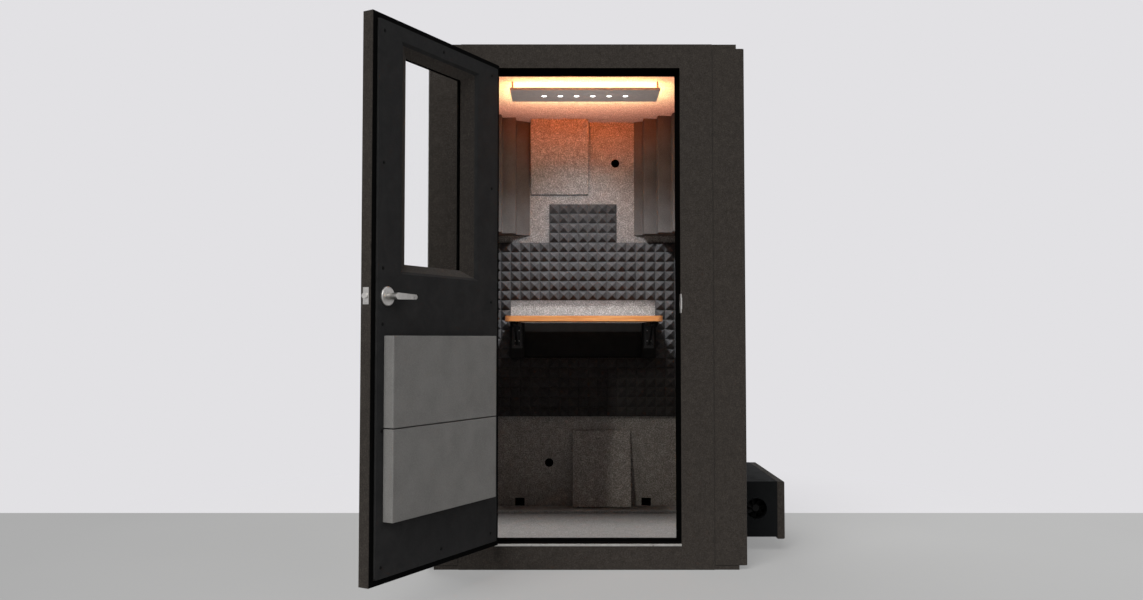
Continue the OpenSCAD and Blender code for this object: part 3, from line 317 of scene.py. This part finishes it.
def clear_glass(name):
    """Clear float glass with a trace of dust in its roughness."""
    mat, tree, shader = start_material(name)
    dust = noise(tree, 18 * MM, detail=5, rough=0.7, warp=0.5)
    colour = ramp(tree, dust, [(0.3, (0.96, 0.98, 0.97, 1)), (0.7, (0.99, 1.0, 0.99, 1))])
    finish(tree, shader, colour, dust, 0.004 * MM, rough=(0.0, 0.02))
    uniform(shader, Transmission_Weight=1.0, IOR=1.003, Alpha=0.3, Coat_Weight=0.12,
            Coat_Roughness=0.02)
    return mat


exterior = felt("exterior_fabric", srgb(40, 37, 34), srgb(53, 49, 46), srgb(70, 65, 60),
                depth=0.6 * MM, fleck=4 * MM)
interior = felt("interior_fabric", srgb(92, 89, 87), srgb(138, 134, 131), srgb(196, 191, 187))
carpet = felt("carpet", srgb(104, 104, 103), srgb(136, 135, 134), srgb(166, 165, 164),
              depth=1.5 * MM)
core_board = board("core_board", srgb(120, 96, 66), srgb(178, 150, 112))
base_board = moulded("base_board", srgb(6), srgb(12), (0.8, 0.95), grain=2 * MM, gloss=0.03)
frame_black = moulded("frame_black", srgb(2), srgb(6), (0.8, 0.95), grain=1.4 * MM, gloss=0.02)
seal_rubber = moulded("seal_rubber", srgb(2), srgb(7), (0.75, 0.9), grain=1.1 * MM,
                      depth=0.2 * MM, gloss=0.03)
door_inner = moulded("door_inner", srgb(33, 33, 34), srgb(48, 48, 48), (0.7, 0.85),
                     grain=2.4 * MM, depth=0.25 * MM, gloss=0.08)
charcoal_foam = foam("charcoal_foam", srgb(48, 47, 48), srgb(80, 79, 80))
# The lower foam is the charcoal foam in darker tones: painted shade for where the desk shades it.
foam_painted_shade = foam("foam_painted_shade", srgb(38, 36, 36), srgb(64, 62, 62))
grey_foam = foam("grey_foam", srgb(107, 106, 105), srgb(129, 128, 126))
trap_foam = foam("trap_foam", srgb(70, 67, 66), srgb(94, 91, 90))
desk_wood = staves("desk_wood", srgb(142, 83, 42), srgb(210, 134, 75), srgb(238, 174, 112))
block_black = moulded("block_black", srgb(28), srgb(38), (0.75, 0.9), grain=2 * MM, gloss=0.05)
bracket_steel = moulded("bracket_steel", srgb(10), srgb(18), (0.35, 0.55))
satin_metal = brushed("satin_metal", srgb(176, 174, 170), srgb(206, 204, 200), (0.26, 0.42),
                      stretch=(1, 1, 0.08))
light_metal = brushed("light_metal", srgb(150, 145, 143), srgb(190, 184, 181), (0.45, 0.62),
                      stretch=(0.06, 1, 1), metallic=0.3)
spot_lens = lenses_with_painted_halo("spot_lens")
strip_lens = lit_strip("strip_lens")
window_glass = clear_glass("window_glass")
silencer_black = moulded("silencer_black", srgb(15, 16, 17), srgb(24, 25, 26), (0.75, 0.9),
                         grain=2 * MM, gloss=0.05)
screw_black = moulded("screw_black", srgb(2), srgb(5), (0.5, 0.65), grain=0.6 * MM, gloss=0.1)
fan_plastic = moulded("fan_plastic", srgb(6), srgb(11), (0.5, 0.65), gloss=0.1)
port_black = moulded("port_black", srgb(1), srgb(4), (0.8, 0.95), grain=1.2 * MM,
                     depth=0.1 * MM, gloss=0.02)

FINISH = {
    exterior: ("roof_panel front_skin back_skin left_skin right_skin corner_strips door_slab "
               "silencer_cover"),
    interior: ("ceiling_liner front_liner back_liner left_liner right_liner vent_cover_upper "
               "vent_cover_lower"),
    carpet: "floor_carpet back_ledge",
    core_board: "front_core back_core left_core right_core",
    base_board: "floor_panel",
    frame_black: "door_frame window_trim",
    seal_rubber: "door_seal",
    door_inner: "door_panel",
    charcoal_foam: "foam_top_block foam_upper foam_sides silencer_baffles",
    # The lower foam takes the darker copy of the charcoal foam: painted shade under the desk.
    foam_painted_shade: "foam_lower",
    grey_foam: "door_foam_upper door_foam_lower",
    trap_foam: "bass_traps",
    desk_wood: "desk_board",
    block_black: "desk_wall_blocks",
    bracket_steel: "bracket_legs desk_arms strut_left strut_right",
    satin_metal: ("threshold_strip strike_plate frame_hinges door_hinges door_lock lever_set "
                  "latch_bolt bracket_screws"),
    light_metal: "light_housing",
    spot_lens: "light_spots",
    strip_lens: "led_strip",
    window_glass: "window_glass",
    silencer_black: "silencer_box",
    screw_black: "door_screws",
    fan_plastic: "fan_frame fan_rotor rear_grilles",
    port_black: "cable_ports floor_ports wall_duct",
}
material_of = {}
for mat, names in FINISH.items():
    for name in names.split():
        material_of[name] = mat
        for material_slot in nodes[name].material_slots:
            material_slot.material = mat


# Eased edges

def ease(obj, radius, segments=2, sharp_from=32, ring=False):
    """Rounds the edges of obj that are sharper than sharp_from degrees, with clean shading.

    The split vertices are joined first, and but for a ring the flat faces too.
    """
    weld = obj.modifiers.new("weld", "WELD")
    weld.merge_threshold = SAME_POINT
    if not ring:
        flat = obj.modifiers.new("flat", "DECIMATE")
        flat.decimate_type = "DISSOLVE"
        flat.angle_limit = SAME_PLANE
    bevel = obj.modifiers.new("ease", "BEVEL")
    bevel.width = radius
    bevel.segments = segments
    bevel.limit_method = "ANGLE"
    bevel.angle_limit = math.radians(sharp_from)
    bevel.miter_outer = "MITER_ARC"
    shade = obj.modifiers.new("shade", "WEIGHTED_NORMAL")
    shade.weight = 100


RINGS = ("window_trim", "door_frame")
EASED = {
    2.2 * MM: "front_skin back_skin left_skin right_skin corner_strips door_slab silencer_cover",
    2.0 * MM: "vent_cover_upper vent_cover_lower roof_panel",
    1.5 * MM: "desk_board door_panel desk_wall_blocks",
    0.8 * MM: "door_frame window_trim silencer_box light_housing floor_panel",
    0.5 * MM: ("threshold_strip strike_plate door_seal lever_set door_lock bracket_legs "
               "desk_arms strut_left strut_right frame_hinges door_hinges cable_ports "
               "floor_ports wall_duct fan_frame"),
}
for radius, names in EASED.items():
    for name in names.split():
        ease(nodes[name], radius, ring=name in RINGS)


# Soft pieces

def add_piece(work, name):
    """A new object with the mesh that work holds."""
    mesh = bpy.data.meshes.new(name)
    work.to_mesh(mesh)
    work.free()
    obj = bpy.data.objects.new(name, mesh)
    bpy.context.scene.collection.objects.link(obj)
    return obj


def copy_of(node, name):
    """A free copy of a node's mesh with joined vertices and whole flat faces."""
    work = bmesh.new()
    work.from_mesh(nodes[node].data)
    bmesh.ops.remove_doubles(work, verts=work.verts, dist=SAME_POINT)
    bmesh.ops.dissolve_limit(work, angle_limit=SAME_PLANE, verts=work.verts, edges=work.edges)
    obj = add_piece(work, name)
    attributes = obj.data.attributes
    for attribute in ("custom_normal", "sharp_edge", "sharp_face"):
        if attribute in attributes:
            attributes.remove(attributes[attribute])
    return obj


SOFT = (
    # node, body, rounding of its edges, steps of the rounding, how firm its padding is
    ("foam_top_block", "booth", 1.6 * MM, 2, 1.0),
    ("foam_upper", "booth", 1.6 * MM, 2, 1.0),
    ("foam_sides", "booth", 1.6 * MM, 2, 1.0),
    ("foam_lower", "booth", 1.6 * MM, 2, 1.0),
    ("bass_traps", "booth", 4.0 * MM, 2, 1.0),
    ("silencer_baffles", "booth", 3.0 * MM, 2, 1.0),
    ("floor_carpet", "booth", 2.0 * MM, 2, None),
    ("back_ledge", "booth", 3.0 * MM, 2, None),
    ("door_foam_upper", "door", 4.0 * MM, 3, 1.0),
    ("door_foam_lower", "door", 4.0 * MM, 3, 1.0),
)
for node, body, radius, steps, fill in SOFT:
    piece = copy_of(node, node + "_soft")
    ease(piece, radius, steps, sharp_from=20)
    piece.data.materials.clear()
    piece.data.materials.append(material_of[node])
    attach(piece, body)
    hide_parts(node)


# Small fasteners

HINGE_PIN = Vector((-0.392, -0.6545, 0))
DOOR_OPEN = Matrix.Rotation(math.radians(-119.4), 3, "Z")
RING_SIDES = 18

# Rings of a turned part: share of its radius, share of its height, whether it has six sides
SOCKET_HEAD = ((1.0, 0.0, False), (1.0, 0.4, False), (0.86, 0.75, False), (0.6, 0.96, False),
               (0.5, 1.0, False), (0.42, 0.94, True), (0.42, 0.4, True), (0.0, 0.35, True))
CUP_WASHER = ((1.0, 0.0, False), (0.96, 0.5, False), (0.72, 1.0, False), (0.68, 0.8, False),
              (0.68, 0.1, False))


def on_door(point):
    """Where a point of the closed door is while the door stands open."""
    return HINGE_PIN + DOOR_OPEN @ (Vector(point) - HINGE_PIN)


def hexagon_reach(angle):
    """Distance from the middle of a hexagon to its edge, for corners at a distance of 1."""
    half = math.radians(30)
    return math.cos(half) / math.cos(angle % (2 * half) - half)


def turned_parts(name, body, mat, rings, radius, height, points, facing):
    """Small turned parts at these points, all facing one way.

    For the door, points and facing are those of the closed door.
    """
    facing = Vector(facing)
    if body == "door":
        points = [on_door(point) for point in points]
        facing = DOOR_OPEN @ facing
    turn = Vector((0, 0, 1)).rotation_difference(facing).to_matrix().to_4x4()
    work = bmesh.new()
    for point in points:
        base = Matrix.Translation(point) @ turn
        last = None
        for share, rise, hexagonal in rings:
            ring = []
            for side in range(RING_SIDES):
                angle = math.tau * side / RING_SIDES
                reach = radius * share * (hexagon_reach(angle) if hexagonal else 1.0)
                ring.append(work.verts.new(base @ Vector((
                    reach * math.cos(angle), reach * math.sin(angle), rise * height))))
            if last:
                for i in range(RING_SIDES):
                    j = (i + 1) % RING_SIDES
                    work.faces.new((last[i], last[j], ring[j], ring[i]))
            last = ring
    bmesh.ops.remove_doubles(work, verts=work.verts, dist=0.01 * MM)
    piece = add_piece(work, name)
    piece.data.materials.append(mat)
    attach(piece, body)


def points_at(xs, ys, zs):
    """Every point that has one of the xs, one of the ys and one of the zs."""
    return [(x, y, z) for x in xs for y in ys for z in zs]


def black_band_round_doorway():
    """A thin black band over the fabric panel round the doorway."""
    frame_low, frame_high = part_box("door_frame")
    strike_low, strike_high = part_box("strike_plate")
    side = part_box("threshold_strip")[1].x
    lap = frame_high.x - side
    foot = frame_low.z + lap
    head = frame_high.z - lap
    thick = 0.3 * MM
    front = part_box("front_skin")[0].y + thick
    back = frame_low.y
    work = bmesh.new()
    for left, low, right, high in (
            (-side, foot, side, foot + thick),
            (-side, head - thick, side, head),
            (-side, foot, -side + thick, head),
            (side - thick, foot, side, strike_low.z),
            (side - thick, strike_high.z, side, head)):
        size = Matrix.Diagonal((right - left, back - front, high - low, 1))
        middle = Matrix.Translation(((left + right) / 2, (front + back) / 2, (low + high) / 2))
        bmesh.ops.create_cube(work, size=1, matrix=middle @ size)
    piece = add_piece(work, "doorway_black_band")
    piece.data.materials.append(frame_black)
    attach(piece, "booth")


FORWARD, BACKWARD, DOWN = (0, -1, 0), (0, 1, 0), (0, 0, -1)
TO_LEFT, TO_RIGHT = (-1, 0, 0), (1, 0, 0)
LEAF_FACE_Y = -0.648
LEAF_SCREW_Z = [z + step for z in (0.3773, 1.0685, 1.7597) for step in (-0.032, 0, 0.032)]
LOCK_Y = -0.624
PANEL_FACE_Y = -0.5931
PANEL_LEFT, PANEL_RIGHT = -0.3147, 0.3283
BAR_FACE_Z = 2.035
GRILLE_FACE_Y = 0.651

black_band_round_doorway()
turned_parts("frame_hinge_screws", "booth", satin_metal, SOCKET_HEAD, 4.5 * MM, 1.3 * MM,
             points_at([-0.436], [LEAF_FACE_Y], LEAF_SCREW_Z), FORWARD)
turned_parts("door_hinge_screws", "door", satin_metal, SOCKET_HEAD, 4.5 * MM, 1.3 * MM,
             points_at([-0.348], [LEAF_FACE_Y], LEAF_SCREW_Z), FORWARD)
turned_parts("face_plate_screws", "door", satin_metal, SOCKET_HEAD, 3.2 * MM, 0.5 * MM,
             points_at([0.3785], [LOCK_Y], [1.047, 1.09]), TO_RIGHT)
turned_parts("strike_screws", "booth", satin_metal, SOCKET_HEAD, 3.2 * MM, 0.5 * MM,
             points_at([0.381], [LOCK_Y], [1.042, 1.095]), TO_LEFT)
turned_parts("panel_screw_cups", "door", screw_black, CUP_WASHER, 6.6 * MM, 0.9 * MM,
             points_at([PANEL_LEFT, PANEL_RIGHT], [PANEL_FACE_Y], [0.1675, 0.618, 1.519, 1.9695])
             + points_at([PANEL_RIGHT], [PANEL_FACE_Y], [0.9745, 1.1625])
             + points_at([PANEL_LEFT], [PANEL_FACE_Y], [1.0685])
             + points_at([0], [PANEL_FACE_Y], [0.1675, 1.9812]), BACKWARD)
turned_parts("bar_screws", "booth", light_metal, SOCKET_HEAD, 3.4 * MM, 1.0 * MM,
             points_at([-0.325, 0.325], [-0.273, -0.088], [BAR_FACE_Z]), DOWN)
turned_parts("rear_grille_screws", "booth", fan_plastic, SOCKET_HEAD, 3.2 * MM, 1.0 * MM,
             points_at([-0.230, -0.016], [GRILLE_FACE_Y], [1.939, 2.023])
             + points_at([-0.010, 0.204], [GRILLE_FACE_Y], [0.109, 0.193]), BACKWARD)


# Floor and world

WALL = srgb(226, 225, 228)
AMBIENT = 0.035


def seen_directly(tree):
    """1 for rays from the camera, off gloss or through glass, and 0 for light on the object."""
    path = tree.nodes.new("ShaderNodeLightPath")
    total = math_node(tree, "ADD", path.outputs["Is Camera Ray"], path.outputs["Is Glossy Ray"])
    return math_node(tree, "ADD", total, path.outputs["Is Transmission Ray"], clamp=True)


def background(tree, colour, strength):
    """An evenly coloured surroundings shader for the world."""
    node = tree.nodes.new("ShaderNodeBackground")
    node.inputs["Color"].default_value = colour
    node.inputs["Strength"].default_value = strength
    return node.outputs[0]


def light_world():
    """A faint even light on the object, and the colour of the wall where the world is seen."""
    world = bpy.data.worlds.new("studio")
    bpy.context.scene.world = world
    world.use_nodes = True
    tree = world.node_tree
    tree.nodes.clear()
    mix = mix_shaders(tree, seen_directly(tree), background(tree, srgb(255), AMBIENT),
                      background(tree, WALL, 1.0))
    out = tree.nodes.new("ShaderNodeOutputWorld")
    tree.links.new(mix, out.inputs["Surface"])


def floor_material():
    """Pale studio floor in front, made a little lighter to the right by painted light, and the
    wall's colour behind.

    Near the object the floor takes light and shadow. Far from it, it shows its plain colour.
    """
    mat, tree, shader = start_material("studio_floor")
    x, y = place_xy(tree)
    across = map_range(tree, x, -2.4, 2.4)
    cloud = noise(tree, 0.9, detail=2, rough=0.4)
    # The ramp across X is painted light that makes the floor lighter to the right; the cloud is
    # random tone.
    shade = blend(tree, [(across, 0.8), (cloud, 0.2)])
    tint = tree.nodes.new("ShaderNodeMix")
    tint.data_type = "RGBA"
    tree.links.new(math_node(tree, "GREATER_THAN", y, FLOOR_EDGE_Y), tint.inputs["Factor"])
    tree.links.new(ramp(tree, shade, [(0.0, srgb(171)), (1.0, srgb(189))]), tint.inputs["A"])
    tint.inputs["B"].default_value = WALL
    colour = tint.outputs["Result"]
    tree.links.new(colour, shader.inputs["Base Color"])
    uniform(shader, Roughness=0.9, Specular_IOR_Level=0.0)
    plain = tree.nodes.new("ShaderNodeEmission")
    tree.links.new(colour, plain.inputs["Color"])
    distance = tree.nodes.new("ShaderNodeVectorMath")
    distance.operation = "LENGTH"
    tree.links.new(place(tree), distance.inputs[0])
    far = map_range(tree, distance.outputs["Value"], 0.9, 2.6, to_start=0.55)
    share = math_node(tree, "MULTIPLY", far, seen_directly(tree))
    mix = mix_shaders(tree, share, shader.outputs[0], plain.outputs[0])
    tree.links.new(mix, tree.nodes["Material Output"].inputs["Surface"])
    return mat


def add_floor():
    """A square floor with its middle under the booth."""
    work = bmesh.new()
    corners = ((-1, -1), (1, -1), (1, 1), (-1, 1))
    work.faces.new([work.verts.new((x * FLOOR_REACH, y * FLOOR_REACH, 0)) for x, y in corners])
    floor = add_piece(work, "studio_floor")
    floor.data.materials.append(floor_material())


light_world()
add_floor()


# Light

PLAIN = (1.0, 1.0, 1.0)
LED = (1.0, 0.24, 0.045)
AMBER = (1.0, 0.14, 0.0)
PINK = (1.0, 0.284, 0.214)
YELLOW = (0.95, 1.0, 0.45)
WHITE = (1.0, 0.97, 0.95)
COOL = (0.94, 1.0, 1.04)

INSIDE = ("ceiling_liner front_liner back_liner left_liner right_liner vent_cover_upper "
          "vent_cover_lower cable_ports floor_ports desk_wall_blocks bracket_legs bracket_screws "
          "desk_board desk_arms strut_left strut_right light_housing light_spots led_strip "
          "wall_duct foam_top_block_soft foam_upper_soft foam_sides_soft foam_lower_soft "
          "bass_traps_soft bar_screws").split()
CARPETS = ["floor_carpet_soft", "back_ledge_soft"]
OUTSIDE = [obj.name for obj in bpy.context.scene.objects
           if obj.type == "MESH" and obj.name not in INSIDE + CARPETS]
CEILING = ["ceiling_liner"]
TRAPS = ["bass_traps_soft"]
BAR = ["light_housing"]
DESK = ["desk_board"]
BACK_WALL = ["back_liner"]
UPPER_WALL = ["back_liner", "vent_cover_upper"]
ROUND_THE_BAR = ("back_liner left_liner right_liner front_liner vent_cover_upper "
                 "bass_traps_soft foam_top_block_soft foam_upper_soft").split()
FOAM = "foam_top_block_soft foam_upper_soft foam_sides_soft".split()
SPOT_LIT = [name for name in INSIDE if name not in FOAM + DESK]


def add_light(name, kind, energy, colour, **settings):
    """A lamp of one kind, at the origin; settings are those of its kind."""
    data = bpy.data.lights.new(name, kind)
    data.energy = energy
    data.color = colour
    for key, value in settings.items():
        setattr(data, key, value)
    lamp = bpy.data.objects.new(name, data)
    bpy.context.scene.collection.objects.link(lamp)
    return lamp


def add_sun(name, strength, azimuth, height, angle, colour=PLAIN):
    """A sun that stands azimuth degrees left of the doorway's front and height above the floor."""
    lamp = add_light(name, "SUN", strength, colour, angle=math.radians(angle))
    lamp.rotation_euler = (math.radians(90 - height), 0, -math.radians(azimuth))
    lamp.visible_transmission = False
    return lamp


def add_panel(name, watts, colour, size, spot, turn=0, spread=180):
    """A rectangular lamp that isn't seen itself; unturned it shines straight down."""
    lamp = add_light(name, "AREA", watts, colour, shape="RECTANGLE", size=size[0], size_y=size[1],
                     spread=math.radians(spread))
    lamp.location = spot
    lamp.rotation_euler = (math.radians(turn), 0, 0)
    lamp.visible_camera = False
    lamp.visible_glossy = False
    lamp.visible_transmission = False
    return lamp


def add_disc(name, watts, colour, diameter, spot):
    """A round lamp that shines straight down."""
    lamp = add_light(name, "AREA", watts, colour, shape="DISK", size=diameter)
    lamp.location = spot
    lamp.visible_camera = False
    return lamp


def add_beam(name, watts, colour, cone, soft, spot, turn=0, fade=1.0):
    """A cone of light from a small round source; unturned it shines straight down."""
    lamp = add_light(name, "SPOT", watts, colour, shadow_soft_size=soft,
                     spot_size=math.radians(cone), spot_blend=fade)
    lamp.location = spot
    lamp.rotation_euler = (math.radians(turn), 0, 0)
    lamp.visible_camera = False
    return lamp


def group_of(title, names):
    """A collection of the objects with these names."""
    group = bpy.data.collections.new(title)
    for name in names:
        group.objects.link(bpy.data.objects[name])
    return group


def light_only(lamp, names, shadows_of=None):
    """The lamp lights only these objects; shadows_of limits what casts a shadow in its light."""
    lamp.light_linking.receiver_collection = group_of(lamp.name + "_lights", names)
    if shadows_of is not None:
        lamp.light_linking.blocker_collection = group_of(lamp.name + "_shadows", shadows_of)


# The studio's light on the outside, and what falls in through the doorway
light_only(add_sun("key", 2.72, 25, 45, 40, (1.0, 0.99, 0.97)), OUTSIDE)
light_only(add_sun("fill_right", 0.72, -50, 25, 50), OUTSIDE)
light_only(add_sun("fill_back", 2.0, 155, 35, 50), OUTSIDE)
light_only(add_sun("doorway_patch", 0.34, 22.5, 33, 2, (1.0, 0.96, 0.86)), INSIDE)
light_only(add_sun("doorway_high", 2.6, 0, 68, 11), CARPETS, ["roof_panel", "ceiling_liner"])

# The light strip round the top of the bar
bar_low, bar_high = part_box("light_housing")
strip_low, strip_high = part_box("led_strip")
bar_x, bar_y = (bar_low.x + bar_high.x) / 2, (bar_low.y + bar_high.y) / 2
ceiling_z = bar_high.z
strip_z = strip_high.z + 1 * MM
length, depth = strip_high.x - strip_low.x, strip_high.y - strip_low.y
STRIP_WIDTH = 12 * MM
WATTS_PER_METRE = 4.0 / 0.6
for name, x, y, run_x, run_y in (
        ("strip_front", bar_x, strip_low.y, length, STRIP_WIDTH),
        ("strip_back", bar_x, strip_high.y, length, STRIP_WIDTH),
        ("strip_left", strip_low.x, bar_y, STRIP_WIDTH, depth),
        ("strip_right", strip_high.x, bar_y, STRIP_WIDTH, depth)):
    add_panel(name, WATTS_PER_METRE * max(run_x, run_y), LED, (run_x, run_y), (x, y, strip_z), 180)

# The glow of the strip on the ceiling, and the light that the ceiling sends on to the walls
light_only(add_panel("ceiling_wash", 9.9, PINK, (0.9, 0.6), (bar_x, bar_y + 0.10, ceiling_z - 0.30),
                     180), CEILING, CEILING)
light_only(add_panel("ceiling_glow", 5.7, YELLOW, (0.70, 0.28),
                     (bar_x, bar_y + 0.08, ceiling_z - 0.12), 180), CEILING, CEILING)
light_only(add_panel("wall_glow", 0.68, AMBER, (0.70, 0.03), (bar_x, bar_high.y, ceiling_z - 0.03),
                     90, spread=50), ROUND_THE_BAR, ROUND_THE_BAR)
light_only(add_panel("trap_wash", 11.5, COOL, (0.50, 0.10), (0, -0.45, 1.80), 32, spread=110),
           TRAPS)
light_only(add_beam("wall_wash", 28.5, (0.93, 1.0, 1.1), 52, 20 * MM, (0, -0.50, 1.95), 60.5,
                    fade=0.9),
           UPPER_WALL, UPPER_WALL + TRAPS + DESK + ["desk_wall_blocks"])
light_only(add_panel("strip_wash", 0.16, COOL, (0.80, 0.02), (-0.02, 0.38, 1.07), 90, spread=60),
           BACK_WALL, BACK_WALL)
light_only(add_panel("desk_light", 7.5, WHITE, (0.60, 0.10), (0, -0.40, 1.60), 45), DESK)
light_only(add_panel("bar_fill", 2.2, WHITE, (0.5, 0.2), (bar_x, bar_y - 0.1, ceiling_z - 0.6),
                     180), BAR, BAR)

# The spots under the bar
under_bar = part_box("light_spots")[0].z - 1 * MM
first_spot, spot_pitch = spot_row()
for i in range(SPOT_COUNT):
    spot = (first_spot + i * spot_pitch, bar_y, under_bar)
    light_only(add_disc(f"spot_{i + 1}", 0.5, WHITE, 20 * MM, spot), SPOT_LIT)
    light_only(add_beam(f"beam_{i + 1}", 15.0, WHITE, 106, 9 * MM, spot), SPOT_LIT)
light_only(add_beam("foam_light", 215.0, COOL, 150, 60 * MM, (bar_x, bar_y, under_bar)), FOAM)


# Camera

camera_data = bpy.data.cameras.new("camera")
camera_data.lens = 29.97
camera_data.sensor_width = 36.0
camera = bpy.data.objects.new("camera", camera_data)
camera.location = (-0.0606, -4.4958, 0.9276)
camera.rotation_euler = (math.radians(92.298), 0, 0)
bpy.context.scene.collection.objects.link(camera)
bpy.context.scene.camera = camera
bpy.context.scene.view_settings.view_transform = "Standard"
